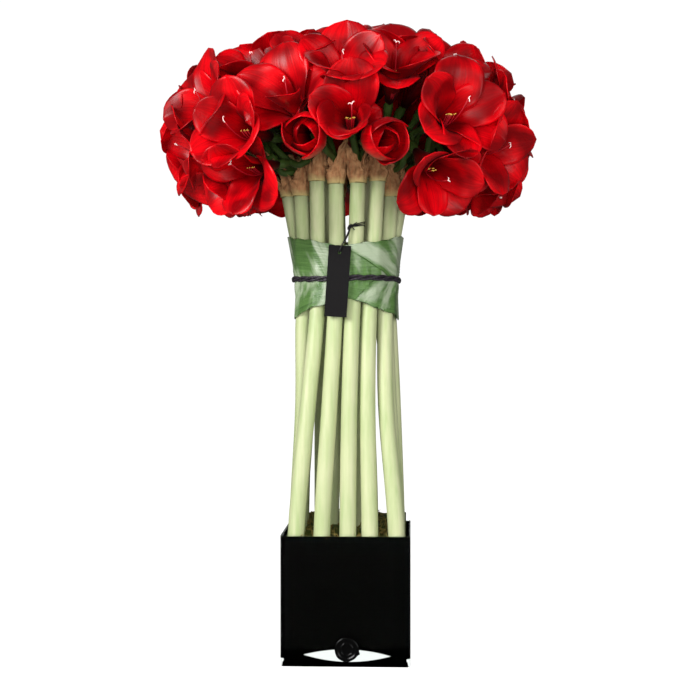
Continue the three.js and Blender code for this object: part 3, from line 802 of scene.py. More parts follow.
def petal_points(bloom, kind, turn, opening, size, seed, u, v):
    """Points of a petal: u runs across it and v from its root to its tip, both from 0 to 1."""
    sizes = bpy.context.scene.bouquet_flowers
    shape = FORMS[bloom["form"]]
    axis = bloom["axis"]
    side = unit(np.cross(UP, axis))
    top = np.cross(axis, side)
    away = top * math.cos(turn) + side * math.sin(turn)
    across = np.cross(axis, away)
    edge = 2 * u - 1
    v = v * (1 - shape["blunt"] * edge**2)

    # The spine, and a half width that is bent round it.
    length = mm(sizes.petal_length) * size * shape["lengths"][kind]
    least, spread = shape["recurve"]
    recurve = least + spread * chance(seed + 11)
    out, along, slope = petal_spine(kind, shape, opening, length, recurve, v)
    widest = mm((sizes.outer_half, sizes.inner_half)[kind]) * size
    bend = out + 1 + shape["flatten"] * np.maximum(0, v - 0.45) ** 2
    start, span = shape["profile"]
    half = np.minimum(widest * petal_width(start + span * v), shape["wrap"] * bend)
    curl = edge * half / bend
    sideways = bend * np.sin(curl)
    inward = bend * (1 - np.cos(curl))

    # The margin ripples and rolls back, the middle is creased, and one margin may lie under.
    free = smooth(v, 0.25, 0.7)
    broad = half / widest
    far_side = edge > 0
    wave = np.sin(2 * math.pi * (1.6 * v + chance(seed) + 0.5 * far_side))
    ripple = wave + 0.45 * np.sin(2 * math.pi * (3.1 * v + chance(seed + 3) + 0.3 * far_side))
    roll = mm(sizes.roll) * (0.2 + 1.2 * chance(seed + 5))
    inward += mm(sizes.ripple) * shape["ripple"] * ripple * broad * np.abs(edge) ** 2.2 * free
    inward -= roll * broad**1.5 * np.abs(edge) ** 4 * free
    inward -= np.exp(-((edge / 0.1) ** 2)) * smooth(v, 0.1, 0.4)
    inward += shape["lap"] * edge * smooth(v, 0.1, 0.5)

    # It twists and sways a little as a whole.
    twist = shape["twist"] * (chance(seed + 7) - 0.5) * v**1.5
    sideways, inward = (
        sideways * np.cos(twist) - inward * np.sin(twist),
        sideways * np.sin(twist) + inward * np.cos(twist),
    )
    sideways = sideways + shape["sway"] * (chance(seed + 9) - 0.5) * v**2
    normal = np.sin(slope)[:, None] * axis - np.cos(slope)[:, None] * away
    return (
        bloom["base"]
        + along[:, None] * axis
        + out[:, None] * away
        + sideways[:, None] * across
        + inward[:, None] * normal
    )


# The points of a petal that are tried against its room.
SAMPLE_GRID = np.meshgrid(np.linspace(0, 1, 5), np.linspace(0.15, 1, 6))
SAMPLE_U, SAMPLE_V = (part.ravel() for part in SAMPLE_GRID)


def fitted_petal(bloom, room, kind, turn, seed):
    """How open and how large a petal can be in its bloom's room."""
    normals, offsets = room
    best, best_score = (0.0, 0.55), 0
    for size in PETAL_SIZES:
        for opening in PETAL_OPENINGS:
            score = opening + 3 * size
            if score <= best_score:
                break
            places = petal_points(bloom, kind, turn, opening, size, seed, SAMPLE_U, SAMPLE_V)
            if (places @ normals.T >= offsets).all():
                best, best_score = (opening, size), score
                break
    return best


def add_petals(bm, bloom, room):
    """Adds three outer and three inner petals, each as open and as large as its room lets it be."""
    roll = 0.3 * (chance(bloom["number"]) - 0.5)
    for k in range(6):
        kind = OUTER if k % 2 == 0 else INNER
        seed = bloom["number"] * 31 + k * 7
        turn = roll + k * math.pi / 3
        opening, size = fitted_petal(bloom, room, kind, turn, seed)
        fitted = (bloom, kind, turn, opening, size, seed)
        add_sheet(bm, *PETAL_GRID, lambda u, v: petal_points(*fitted, u, v))


def add_stalk(bm, bloom, material):
    """The bloom's own stalk, which swells into the ovary behind the petals."""
    hub, base, axis = bloom["hub"], bloom["base"], bloom["axis"]
    reach = np.linalg.norm(base - hub)
    # It rises in the sheath before it bends.
    line = along_curve(
        [
            hub,
            hub + 0.1 * (base - hub) + 24 * UP,
            hub + 0.5 * (base - hub) + 0.12 * reach * UP,
            base - 0.22 * reach * axis - OVARY_DEPTH * axis,
            base - OVARY_DEPTH * axis,
            base,
            base + 7 * axis,
        ],
        20,
    )
    # It is some 10 mm thick, and its ovary 16 mm.
    run = np.concatenate([[0], np.cumsum(np.linalg.norm(np.diff(line, axis=0), axis=1))])
    left = run[-1] - run
    radii = 5.2 + 2.8 * np.exp(-(((left - 12) / 8) ** 2)) + 0.8 * np.exp(-run / 6)
    add_tube(bm, line, radii, 10, material)


def add_stamens(bm, bloom, filament, stigma, anther):
    """One long style with a curled, cleft tip, and six shorter threads with anthers."""
    axis, base, number = bloom["axis"], bloom["base"], bloom["number"]
    down = unit(-UP + axis * axis.dot(UP))
    side = np.cross(axis, down)
    t = np.linspace(0, 1, 9)[:, None]
    for k in range(FILAMENTS + 1):
        style = k == FILAMENTS
        length = 92 + 12 * chance(number) if style else 52 + 8 * chance(number * 3 + k)
        spread = 10 * (chance(number + 40) - 0.5) if style else (k - 2.5) * 2.4
        bow = 13 * np.sin(math.pi * 0.9 * t) - (16 if style else 6) * t**3
        line = base + 4 * axis + length * t * axis + bow * down + spread * t * side
        add_tube(bm, line, 0.9 if style else 0.6, 5, filament)
        tip, ahead = line[-1], unit(line[-1] - line[-2])
        if not style:
            half = (0.4 + 0.6 * chance(number + k)) * side + 0.5 * ahead
            pod = [tip + share * half for share in (-2.2, -1, 1, 2.2)]
            add_tube(bm, pod, [0.3, 0.9, 0.9, 0.3], 5, anther)
            continue
        for lobe in range(2):
            angle = lobe * 2.2 + number
            out = math.cos(angle) * down + math.sin(angle) * side
            curl = [
                tip - ahead,
                tip + 1.6 * ahead + 1.0 * out,
                tip + 2.2 * ahead + 3.0 * out,
                tip + 1.0 * ahead + 5.0 * out,
                tip - 0.6 * ahead + 4.6 * out,
            ]
            add_tube(bm, curl, [0.7, 0.8, 0.75, 0.7, 0.4], 5, stigma)


def add_hub(bm, name, material):
    neck = point(*STEMS[name][1])
    line = neck + np.array([0.3, 3, 7, 10, 13])[:, None] * UP
    add_tube(bm, line, [10.6, 10.4, 9.0, 7.0, 4.0], 16, material)


# Properties


def colour_property(name, description, code):
    return bpy.props.FloatVectorProperty(
        name=name,
        description=description,
        default=linear(code),
        size=4,
        min=0,
        max=1,
        subtype="COLOR",
    )


def length_property(name, description, millimetres):
    return bpy.props.FloatProperty(
        name=name,
        description=description,
        default=millimetres * MM,
        min=0,
        precision=4,
        subtype="DISTANCE",
        unit="LENGTH",
    )


def power_property(name, description, watts):
    return bpy.props.FloatProperty(
        name=name, description=description, default=watts, min=0, subtype="POWER", unit="POWER"
    )


def mm(length):
    """A length property in millimetres, without the rounding of its storage."""
    return round(length / MM, 4)


class BouquetFlowers(bpy.types.PropertyGroup):
    petal_length: length_property("Petal length", "Length of a full-grown petal", 123)
    outer_half: length_property("Outer petal half width", "Half the width of an outer petal", 43)
    inner_half: length_property("Inner petal half width", "Half the width of an inner petal", 36)
    petal_thick: length_property("Petal thickness", "Thickness of a petal", 1.1)
    ripple: length_property("Ripple", "How far a petal's margin waves", 3.2)
    roll: length_property("Roll", "How far a petal's margin rolls back", 9)
    overlap: length_property("Overlap", "How far blooms reach past each other's halfway line", 26)
    lowest: length_property("Lowest", "Height in the middle that no petal hangs below", 697)
    deep: colour_property("Deep red", "The petals' deeper red", "#7C0005")
    bright: colour_property("Bright red", "The petals' brighter red", "#D2000C")
    vein: colour_property("Veins", "Colour of the petals' veins", "#620004")
    # Near black: partly the flower's own dark centre, partly painted shade deep between the petals.
    throat_and_painted_shade: colour_property("Throat", "Colour deep in the flower", "#120001")
    # The stalks' own green, darkened to near black-green as painted shade for the shadow under the
    # blooms.
    shaded_stalk_light: colour_property("Light stalk", "The flower stalks' lighter green", "#34471B")
    shaded_stalk_dark: colour_property("Dark stalk", "The flower stalks' darker green", "#1B290B")


class BouquetStems(bpy.types.PropertyGroup):
    foot_radius: length_property("Foot radius", "Radius of a stem at its foot", 13.4)
    neck_radius: length_property("Neck radius", "Radius of a stem at its neck", 11.8)
    light: colour_property("Light green", "The stems' lighter streaks", "#BBBF96")
    dark: colour_property("Dark green", "The stems' darker streaks", "#8CA566")
    husk_dark: colour_property("Dark husk", "The sheaths' darker brown", "#2E1408")
    husk_light: colour_property("Light husk", "The sheaths' lighter brown", "#C9986A")


class BouquetBand(bpy.types.PropertyGroup):
    above: length_property("Above the tie", "How far the leaf stands above its tie", 68)
    below: length_property("Below the tie", "How far the leaf hangs below its tie", 62)
    gap: length_property("Gap", "Gap between the stems and the leaf", 1.6)
    thick: length_property("Leaf thickness", "Thickness of the leaf", 0.8)
    dark: colour_property("Dark leaf", "The leaf's darker green", "#1E3D14")
    light: colour_property("Light leaf", "The leaf's lighter green", "#658A4A")
    # Painted highlight: the pale colour of the leaf's broad shiny patches.
    wax: colour_property("Wax", "The pale bloom on the leaf", "#B4BEA6")


class BouquetVase(bpy.types.PropertyGroup):
    side: length_property("Side", "Width, depth and height of the vase", 200)
    wall: length_property("Wall", "Thickness of the glass wall", 2.4)
    base: length_property("Base", "Thickness of the glass base", 27)
    glass: colour_property("Glass", "Colour of the glass", "#F4FAF7")


class BouquetStage(bpy.types.PropertyGroup):
    floor: colour_property("Floor", "Colour of the floor", "#A8A8A6")
    key: power_property("Key light", "Power of the main light", 82)
    fill: power_property("Fill light", "Power of the second light", 22)
    studio: bpy.props.FloatProperty(
        name="Studio", description="How bright the studio is to the bouquet", default=0.1, min=0
    )


# Stage


class BOUQUET_OT_stage(bpy.types.Operator):
    """Adds the camera, the floor and the lights"""

    bl_idname = "bouquet.stage"
    bl_label = "Stage"

    def execute(self, context):
        stage = context.scene.bouquet_stage
        lens = bpy.data.cameras.new("camera")
        lens.lens = LENS
        lens.sensor_width = SENSOR
        lens.shift_y = -PICTURE_DROP / PICTURE_SIDE
        lens.clip_end = 50
        camera = bpy.data.objects.new("camera", lens)
        camera.location = CAMERA_PLACE
        camera.rotation_euler = (math.radians(90), 0, math.radians(CAMERA_TURN))
        context.scene.collection.objects.link(camera)
        context.scene.camera = camera
        context.scene.view_settings.view_transform = "Standard"

        # The table is a hair below the glass, so that the glass's underside mirrors what is in it.
        bm = bmesh.new()
        bmesh.ops.create_grid(bm, x_segments=1, y_segments=1, size=FLOOR_REACH)
        bmesh.ops.translate(bm, verts=bm.verts[:], vec=(0, 0, -FLOOR_DROP * MM))
        mesh = bpy.data.meshes.new("floor")
        bm.to_mesh(mesh)
        bm.free()
        mesh.materials.append(lit_table(stage.floor))
        floor = bpy.data.objects.new("floor", mesh)
        context.scene.collection.objects.link(floor)
        # The vase is seen without the table's mirror image on its front.
        floor.visible_glossy = False

        for name, (place, size, power, times) in LAMPS.items():
            light = bpy.data.lights.new(name, "AREA")
            light.energy = times * getattr(stage, power)
            light.size = size
            lamp = bpy.data.objects.new(name, light)
            lamp.location = place
            lamp.visible_glossy = name != "front"
            aim = Vector(LAMPS_AIM) - lamp.location
            lamp.rotation_euler = aim.to_track_quat("-Z", "Y").to_euler()
            context.scene.collection.objects.link(lamp)

        # The studio is white to the eye and dimmer to the bouquet.
        world = bpy.data.worlds.new("studio")
        world.use_nodes = True
        tree = world.node_tree
        strength = add_node(
            tree,
            "MapRange",
            {"Value": seen_directly(tree), "To Min": stage.studio, "To Max": 1.05},
        )
        feed(tree.nodes["Background"], {"Color": (1, 1, 1, 1), "Strength": strength})
        context.scene.world = world
        return {"FINISHED"}


# Flower heads and stems


class BOUQUET_OT_heads(bpy.types.Operator):
    """Adds each stem's flower head: hub, stalks, petals and stamens"""

    bl_idname = "bouquet.heads"
    bl_label = "Flower heads"

    def execute(self, context):
        flowers = context.scene.bouquet_flowers
        # The stalk and hub greens hold painted shade: they are darkened for the shadow under the blooms.
        greens = (flowers.shaded_stalk_light, flowers.shaded_stalk_dark)
        materials = [
            petal_satin(flowers),
            streaked_green("flower_stalk_skin_painted_shade", *greens, stretch=6, roughness=0.5),
            # Living threads: smooth, a little shiny.
            grained("stamen_thread", "#8E0A16", "#B81626", 3.333, 0.2, 0.1, 0.5),
            # Moist flesh at the style's tip, which catches the light.
            grained("stigma_flesh", "#F4C9C6", "#FFE9E4", 3.333, 0.2, 0.1, 0.4),
            # Loose dust: quite dull.
            grained("pollen", "#C99A2A", "#E8C964", 1.111, 0.3, 0.4, 0.9),
        ]
        blooms = all_blooms()
        for name in STEMS:
            bm = bmesh.new()
            own = [bloom for bloom in blooms if bloom["stem"] == name]
            for bloom in own:
                add_petals(bm, bloom, room_of(bloom, blooms, mm(flowers.overlap), mm(flowers.lowest)))
            bmesh.ops.remove_doubles(bm, verts=bm.verts[:], dist=2e-5)
            thicken(bm, mm(flowers.petal_thick))
            inside = bmesh.new()
            add_hub(inside, name, 1)
            for bloom in own:
                add_stalk(inside, bloom, 1)
                if bloom["form"] != "rose":
                    add_stamens(inside, bloom, 2, 3, 4)
            close_tubes(inside)
            join(bm, inside)
            finish_piece(f"bloom_head_{name}", bm, materials, [f"flower_head_{name}"])
        return {"FINISHED"}


class BOUQUET_OT_stems(bpy.types.Operator):
    """Adds the smooth stems"""

    bl_idname = "bouquet.stems"
    bl_label = "Stems"

    def execute(self, context):
        greens = context.scene.bouquet_stems
        skin = streaked_green("stem_skin", greens.light, greens.dark, stretch=14, roughness=0.45)
        for name in STEMS:
            bm = bmesh.new()
            line = along_curve(stem_line(name), 24)
            radii = stem_radius(name, line[:, 2])
            add_tube(bm, line, radii, 24)
            close_tubes(bm)
            finish_piece(f"green_stem_{name}", bm, [skin], [f"stem_{name}"])
        return {"FINISHED"}


# Sheaths


def sheath_points(name, valve, u, v):
    """One of a sheath's three papery parts: two stand, the third leans out to a folded point."""
    part = LEANING if valve == 2 else STANDING
    number = int(name)
    seed = number * 5 + valve
    neck = point(*STEMS[name][1])
    outward = math.atan2(2.2 * neck[0], -neck[1])
    apart = 0 if part is LEANING else math.pi * (valve + 0.5)
    turn = outward + 0.7 * (chance(number) - 0.5) + apart
    least, spread = part["leans"]
    leans = (least + spread * chance(seed)) * (0.5 if name in MIDDLE_STEMS else 1)
    tall = part["tall"] * (0.8 + 0.35 * chance(seed + 1))
    if part is LEANING and name in LONG_BRACTS:
        leans, tall = LONG_BRACT
    edge = 2 * u - 1
    free = smooth(v, 0.12, 0.5)
    least, spread = part["narrows"]
    narrow = least + spread * chance(seed + 3)
    taper = np.maximum(0.14, 1 - narrow * smooth(v, 0.25, 0.85) - 0.3 * smooth(v, 0.85, 1.0))
    fold = SHEATH_RADIUS * (1 - part["closes"] * free) + 1.2 * np.exp(-(((v - 0.2) / 0.1) ** 2))
    angle = edge * part["wraps"] * taper + 1.1 * (chance(seed + 2) - 0.5) * v
    spots = np.stack([angle * 2.6 + seed, v * 6, v * 0 + seed], axis=1)
    crumple = np.array([noise.noise(Vector(a)) + 0.5 * noise.noise(2.3 * Vector(a)) for a in spots])
    ridges = np.sin(12 * angle + 6 * crumple + seed)
    fold = fold + (5.2 * crumple + 1.3 * ridges) * smooth(v, 0.04, 0.3)
    # Ragged margin: the sides lag behind the middle.
    height = -1 + tall * v * (1 - part["droops"] * v)
    height = height - 8 * edge**2 * free * taper + 4 * crumple * smooth(v, 0.4, 0.8) * taper
    out = direction(math.degrees(turn), 0)
    aside = np.cross(UP, out)
    middle = neck + (leans * v**1.7)[:, None] * out + height[:, None] * UP
    return middle + (fold * np.cos(angle))[:, None] * out + (fold * np.sin(angle))[:, None] * aside


class BOUQUET_OT_sheaths(bpy.types.Operator):
    """Adds the papery sheath at each stem's neck"""

    bl_idname = "bouquet.sheaths"
    bl_label = "Sheaths"

    def execute(self, context):
        husk = dry_husk(context.scene.bouquet_stems)
        for name in STEMS:
            bm = bmesh.new()
            for valve in range(3):
                add_sheet(bm, *HUSK_GRID, lambda u, v: sheath_points(name, valve, u, v))
            thicken(bm, HUSK_THICK)
            finish_piece(f"husk_{name}", bm, [husk], [f"spathe_{name}"])
        return {"FINISHED"}


# Leaf band and tie


def band_skin(angle, height, lap):
    """Distance from the middle to the leaf's inner face; lap is 1 on its outer turn."""
    gap = mm(bpy.context.scene.bouquet_band.gap)
    return bundle_reach(angle, height) + gap + LAP_LIFT * lap


def band_points(u, v):
    """The leaf wound once and a bit round the bunch, pinched by its tie where its outer end parts."""
    band = bpy.context.scene.bouquet_band
    row = 2 * v - 1
    above = row > 0
    # It starts to the right of the front and ends there again, in a notch at the tie.
    notch = np.where(above, 58 - 62 * np.abs(row) ** 0.8, 34 - 24 * np.abs(row) ** 0.7)
    angle = np.radians(BAND_START - u * (BAND_START + 360 - notch))
    front = 1 - np.abs((angle + math.pi) % (2 * math.pi) - math.pi) / math.radians(75)
    taper = 1 - np.clip(front, 0, 1) * np.where(above, 0.27, 0.52)
    height = TIE_HEIGHT + row * taper * np.where(above, mm(band.above), mm(band.below))
    reach = band_skin(angle, height, smooth(u, LAP_START, LAP_END))
    # It is pleated, most beside the tie, and wavy all over.
    pleats = 0.5 + 0.5 * np.sin(PLEATS * angle + 3 * np.sin(4 * angle) + 1.5 * row)
    pinch = np.exp(-((np.abs(row) - 0.16) ** 2) / 0.03) + 0.35 * np.abs(row)
    waves = 0.5 * (0.5 + 0.5 * np.sin(5 * angle + 2 * row))
    reach = reach + 0.5 * mm(band.thick) + PLEAT_DEPTH * pleats**2 * pinch + waves
    edge = 1.1 * np.sin(7 * angle) + 0.7 * np.sin(19 * angle + 1)
    height = height + edge * np.abs(row) ** 3
    return np.stack([reach * np.sin(angle), -reach * np.cos(angle), height], axis=1)


class BOUQUET_OT_band(bpy.types.Operator):
    """Adds the leaf wound round the bunch"""

    bl_idname = "bouquet.band"
    bl_label = "Leaf band"

    def execute(self, context):
        band = context.scene.bouquet_band
        bm = bmesh.new()
        add_sheet(bm, *BAND_GRID, band_points)
        thicken(bm, mm(band.thick))
        finish_piece("leaf_band", bm, [ribbed_leaf(band)], ["leaf_wrap"])
        return {"FINISHED"}


class BOUQUET_OT_tie(bpy.types.Operator):
    """Adds the cord that ties the leaf"""

    bl_idname = "bouquet.tie"
    bl_label = "Tie"

    def execute(self, context):
        thick = mm(context.scene.bouquet_band.thick)
        bm = bmesh.new()
        turns = np.linspace(0, 2 * math.pi, 361)
        # It runs over the leaf's outer turn from the front to the right of the back.
        near = (turns + math.pi) % (2 * math.pi) - math.pi
        lap = smooth(near, -0.1, 0.25) * (1 - smooth(near, 1.9, 2.6))
        skin = band_skin(turns, np.full_like(turns, TIE_HEIGHT), lap)
        for strand in range(CORD_STRANDS):
            coil = CORD_TWISTS * turns + strand * 2 * math.pi / CORD_STRANDS
            reach = skin + thick + CORD_OUT + 1.5 * np.cos(coil)
            height = TIE_HEIGHT + 2.9 * np.sin(coil) + 0.8 * np.sin(3 * turns)
            line = np.stack([reach * np.sin(turns), -reach * np.cos(turns), height], axis=1)
            add_tube(bm, line, STRAND_RADIUS + 0.2 * np.sin(9 * turns + strand), 8)
        close_tubes(bm)
        # Waxed twine: fibres lie in a skin of wax, which gives it a broken shine.
        waxed = grained("waxed_black_cord", "#0A080A", "#38303A", 3.333, 1.2, 1.0, 0.4)
        finish_piece("tie_strands", bm, [waxed], ["tie_cord"])
        return {"FINISHED"}


# Card and string


class BOUQUET_OT_string(bpy.types.Operator):
    """Adds the card's string: the strand to its hole, and the turns and knot round the stem"""

    bl_idname = "bouquet.string"
    bl_label = "Card string"

    def execute(self, context):
        # A thinner waxed string, rougher than the cord.
        thread = grained("waxed_black_string", "#060606", "#1E1C1E", 1.667, 0.5, 0.8, 0.5)
        bm = bmesh.new()
        line = along_curve(STRING_ROUTE, 28)
        add_tube(bm, line, STRING_RADIUS, 8)
        close_tubes(bm)
        strand = finish_piece("card_string", bm, [thread], ["tag_string"])

        bm = bmesh.new()
        middle = stem_middle(STRING_STEM, np.array([float(STRING_HEIGHT)]))[0]
        turns = np.linspace(0, 2 * math.pi, 49)
        for tilt, lift in STRING_TURNS:
            height = STRING_HEIGHT + lift + tilt * np.cos(turns)
            ahead = middle[0] + TURN_RADIUS * np.cos(turns)
            aside = middle[1] + TURN_RADIUS * np.sin(turns)
            add_tube(bm, np.stack([ahead, aside, height], axis=1), STRING_RADIUS, 8)
        lean = np.linspace(0, 2 * math.pi, 15)[:, None]
        for n in range(KNOT_COILS):
            a = direction(360 * chance(n), 140 * chance(n + 5) - 70)
            b = unit(np.cross(a, direction(360 * chance(n + 9), 0)))
            middle_of_coil = STRING_KNOT + point(-1.6 * (n % 3), -0.4, -1.8 * (n % 3))
            coil = middle_of_coil + 2.3 * (np.cos(lean) * a + 0.7 * np.sin(lean) * b)
            add_tube(bm, coil, 0.95, 8)
        add_tube(bm, along_curve(SECOND_ROUTE, 20), STRING_RADIUS, 8)
        for reach in TAIL_ENDS:
            tail = [STRING_KNOT, STRING_KNOT + 0.5 * point(*reach) + (0, -1, 0), STRING_KNOT + reach]
            add_tube(bm, along_curve(tail, 10), 0.7, 8)
        close_tubes(bm)
        finish_piece("string_knot", bm, [thread], [])
        return {"FINISHED"}


class BOUQUET_OT_card(bpy.types.Operator):
    """Gives the card its finish"""

    bl_idname = "bouquet.card"
    bl_label = "Card"

    def execute(self, context):
        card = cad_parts["gift_tag"]
        card.data.materials.clear()
        # Smooth dyed card: even, nearly black, with a weak sheen.
        tones = ("#0A090A", "#121011")
        paper = grained("smooth_black_card", *tones, 1.4286, 0.2, 0.2, 0.5, specular=0.2)
        card.data.materials.append(paper)
        return {"FINISHED"}


# Vase


def hollow_block(bm, side, top, floor, wall, corner, pocket_corner, foot_round):
    """A square block, hollowed from above and rounded; floor is its underside and its pocket's floor."""
    bmesh.ops.create_cube(bm, size=1)
    low, pocket_floor = floor
    for vert in bm.verts:
        vert.co.x *= side * MM
        vert.co.y *= side * MM
        vert.co.z = (low + (vert.co.z + 0.5) * (top - low)) * MM
    bm.faces.ensure_lookup_table()
    lid = max(bm.faces, key=lambda face: face.calc_center_median().z)
    bmesh.ops.inset_region(bm, faces=[lid], thickness=wall * MM)
    made = bmesh.ops.extrude_face_region(bm, geom=[lid])
    bottom = [vert for vert in made["geom"] if isinstance(vert, bmesh.types.BMVert)]
    bmesh.ops.delete(bm, geom=[lid], context="FACES_ONLY")
    for vert in bottom:
        vert.co.z = pocket_floor * MM
    inside = (side / 2 - wall + NEAR) * MM

    def pick(test):
        return [edge for edge in bm.edges if test(*(vert.co for vert in edge.verts))]

    def bevel(edges, offset, segments):
        bmesh.ops.bevel(
            bm,
            geom=edges,
            offset=offset * MM,
            segments=segments,
            profile=0.5,
            affect="EDGES",
            material=-1,
            clamp_overlap=True,
        )

    def is_inner(a, b):
        return max(abs(a.x), abs(a.y), abs(b.x), abs(b.y)) < inside

    def is_upright(a, b, depth):
        return abs(a.z - b.z) > depth * MM

    def is_level(a, b):
        at_top = min(a.z, b.z) > (top - NEAR) * MM
        return at_top or max(a.z, b.z) < (low + NEAR) * MM

    on_floor = (pocket_floor + NEAR) * MM
    bevel(pick(lambda a, b: is_inner(a, b) and max(a.z, b.z) < on_floor), foot_round, 6)
    half_deep = 0.5 * (top - pocket_floor)
    bevel(pick(lambda a, b: is_upright(a, b, half_deep) and is_inner(a, b)), pocket_corner, 5)
    nearly_high = 0.9 * (top - low)
    bevel(pick(lambda a, b: is_upright(a, b, nearly_high) and not is_inner(a, b)), corner, 6)
    bevel(pick(is_level), EDGE_ROUND, 2)
    bmesh.ops.recalc_face_normals(bm, faces=bm.faces[:])
    if bm.calc_volume(signed=True) < 0:
        bmesh.ops.reverse_faces(bm, faces=bm.faces[:])


class BOUQUET_OT_vase(bpy.types.Operator):
    """Adds the glass cube and its black inside"""

    bl_idname = "bouquet.vase"
    bl_label = "Vase"

    def execute(self, context):
        vase = context.scene.bouquet_vase
        side, wall, base = mm(vase.side), mm(vase.wall), mm(vase.base)
        bm = bmesh.new()
        hollow_block(bm, side, side, (0, base), wall, corner=6, pocket_corner=5, foot_round=16)
        finish_piece("glass_cube", bm, [clear_glass(vase.glass)], ["glass_vase"])

        # It sits a hair inside the glass, like lacquer on it, and its underside is arched.
        bm = bmesh.new()
        outside = side - 2 * wall + 0.4
        depths = (base, base + LINING_FLOOR)
        rounds = {"corner": 4.2, "pocket_corner": 3.2, "foot_round": 14}
        hollow_block(bm, outside, side - 1, depths, LINING_WALL, **rounds)
        for x in np.linspace(-0.45, 0.45, 19) * outside:
            every = bm.verts[:] + bm.edges[:] + bm.faces[:]
            bmesh.ops.bisect_plane(bm, geom=every, plane_co=(x * MM, 0, 0), plane_no=(1, 0, 0))
        for vert in bm.verts:
            if vert.co.z < (base + 1) * MM:
                arch = 10 * min(1.4, (vert.co.x / (70 * MM)) ** 2) + 5 * (vert.co.y > 0)
                vert.co.z = (base - 0.5 - arch) * MM
        finish_piece("black_inside", bm, [black_lacquer()], ["black_liner"])

        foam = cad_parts["floral_foam"]
        foam.data.materials.clear()
        # Wet phenolic foam: fine open cells, dull and dark green.
        soaked = grained("soaked_floral_foam", "#1E2A16", "#33452A", 2, 1, 0.6, 0.9)
        foam.data.materials.append(soaked)
        return {"FINISHED"}


# Moss and seal


class BOUQUET_OT_moss(bpy.types.Operator):
    """Adds the moss round the feet of the stems"""

    bl_idname = "bouquet.moss"
    bl_label = "Moss"

    def execute(self, context):
        # Dry moss: dull, deeply tufted, with lighter dead fibres on it.
        moss = grained("dry_green_moss", "#15160A", "#55601F", 3.846, 2, 1.0, 0.9)
        fibre = grained("moss_strand", "#4B5A1C", "#9A7A4A", 11.11, 1, 0.5, 0.85)

        def bed(u, v):
            x = (2 * u - 1) * MOSS_REACH
            y = (2 * v - 1) * MOSS_REACH
            lumps = np.array([noise.noise(Vector((a / 16, b / 16, 0.5))) for a, b in zip(x, y)])
            height = MOSS_FRONT + MOSS_RISE * v + 4 * lumps
            return np.stack([x, y, height], axis=1)

        bm = bmesh.new()
        add_sheet(bm, *MOSS_GRID, bed)
        rim = [edge for edge in bm.edges if edge.is_boundary]
        skirt = bmesh.ops.extrude_edge_only(bm, edges=rim)["geom"]
        for vert in skirt:
            if isinstance(vert, bmesh.types.BMVert):
                vert.co.z = MOSS_UNDERSIDE * MM
        low = [edge for edge in bm.edges if edge.is_boundary]
        bmesh.ops.holes_fill(bm, edges=low, sides=0)
        bmesh.ops.recalc_face_normals(bm, faces=bm.faces[:])
        strands = bmesh.new()
        for n in range(MOSS_STRANDS):
            x, y = ((2 * chance(n * 2 + k) - 1) * (MOSS_REACH - 6) for k in (1, 400))
            rise = MOSS_RISE * (y + MOSS_REACH) / (2 * MOSS_REACH)
            root = point(x, y, MOSS_FRONT - 2 + rise)
            way = direction(360 * chance(n + 900), 10 + 50 * chance(n + 77))
            length = 7 + 9 * chance(n + 33)
            curl = direction(360 * chance(n + 901), 0)
            line = [root, root + 0.5 * length * way + 2 * UP, root + length * way + 0.3 * length * curl]
            add_tube(strands, line, [0.9, 0.7, 0.4], 4, 1)
        close_tubes(strands)
        join(bm, strands)
        finish_piece("moss_bed", bm, [moss, fibre], ["moss"])
        return {"FINISHED"}


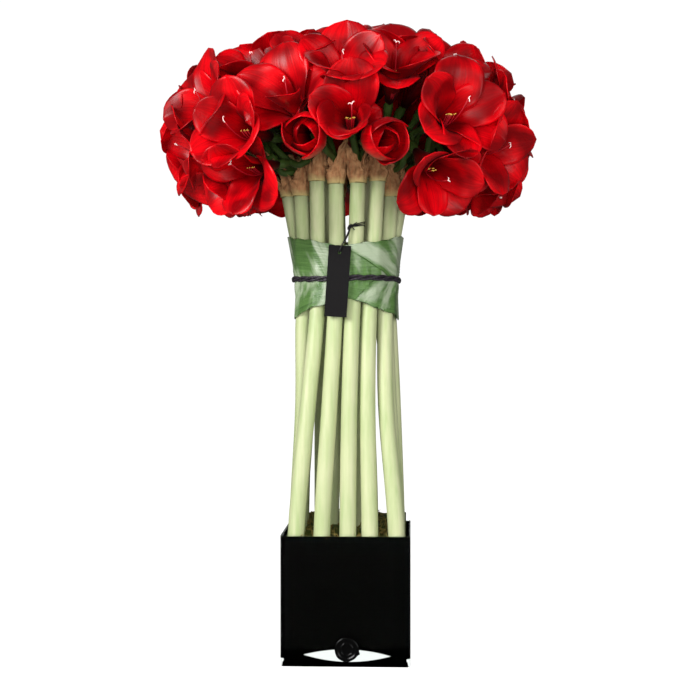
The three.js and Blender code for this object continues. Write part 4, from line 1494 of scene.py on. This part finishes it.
class BOUQUET_OT_seal(bpy.types.Operator):
    """Adds the round wax seal on the vase"""

    bl_idname = "bouquet.seal"
    bl_label = "Seal"

    def execute(self, context):
        def disc(u, v):
            at = v * (len(SEAL_RADII) - 1)
            steps = np.arange(len(SEAL_RADII))
            radius = np.interp(at, steps, SEAL_RADII)
            depth = np.interp(at, steps, SEAL_DEPTHS)
            angle = 2 * math.pi * u
            # It was pressed by hand: not quite round, with a drip at its lower right.
            pressed = 1 + 0.012 * np.sin(3 * angle + 1) + 0.01 * np.sin(7 * angle)
            drip = 2.6 * np.exp(-(((angle - 5.95) / 0.13) ** 2)) * (radius > 16)
            rim = (radius * pressed + drip) * (radius > 0.01)
            depth = depth + 0.15 * np.sin(5 * angle) * (radius > 13)
            spread = [rim * np.cos(angle), -depth, rim * np.sin(angle)]
            return np.stack(spread, axis=1) + SEAL_PLACE

        bm = bmesh.new()
        add_sheet(bm, *SEAL_GRID, disc)
        bmesh.ops.remove_doubles(bm, verts=bm.verts[:], dist=1e-5)
        bmesh.ops.recalc_face_normals(bm, faces=bm.faces[:])
        # Sealing wax: black all through, smooth, with soft broad highlights.
        tones = ("#010101", "#030303")
        wax = grained("black_sealing_wax", *tones, 11.11, 0.6, 0.3, 0.22, specular=0.25)
        finish_piece("seal_disc", bm, [wax], ["wax_seal"])
        return {"FINISHED"}


# Panel and registration


class BOUQUET_PT_panel(bpy.types.Panel):
    """Lists the bouquet's pieces"""

    bl_label = "Bouquet"
    bl_space_type = "VIEW_3D"
    bl_region_type = "UI"
    bl_category = "Bouquet"

    def draw(self, context):
        for operator in OPERATORS:
            self.layout.operator(operator.bl_idname)
        for name, group in GROUPS.items():
            for item in group.__annotations__:
                self.layout.prop(getattr(context.scene, name), item)


OPERATORS = (
    BOUQUET_OT_stage,
    BOUQUET_OT_string,
    BOUQUET_OT_card,
    BOUQUET_OT_stems,
    BOUQUET_OT_heads,
    BOUQUET_OT_sheaths,
    BOUQUET_OT_band,
    BOUQUET_OT_tie,
    BOUQUET_OT_vase,
    BOUQUET_OT_moss,
    BOUQUET_OT_seal,
)
GROUPS = {
    "bouquet_flowers": BouquetFlowers,
    "bouquet_stems": BouquetStems,
    "bouquet_band": BouquetBand,
    "bouquet_vase": BouquetVase,
    "bouquet_stage": BouquetStage,
}


def register():
    for name, group in GROUPS.items():
        bpy.utils.register_class(group)
        setattr(bpy.types.Scene, name, bpy.props.PointerProperty(type=group))
    for item in (*OPERATORS, BOUQUET_PT_panel):
        bpy.utils.register_class(item)


def unregister():
    for item in (BOUQUET_PT_panel, *reversed(OPERATORS)):
        bpy.utils.unregister_class(item)
    for name, group in reversed(GROUPS.items()):
        delattr(bpy.types.Scene, name)
        bpy.utils.unregister_class(group)


def main():
    register()
    for operator in OPERATORS:
        group, name = operator.bl_idname.split(".")
        getattr(getattr(bpy.ops, group), name)()


if __name__ == "__main__":
    main()
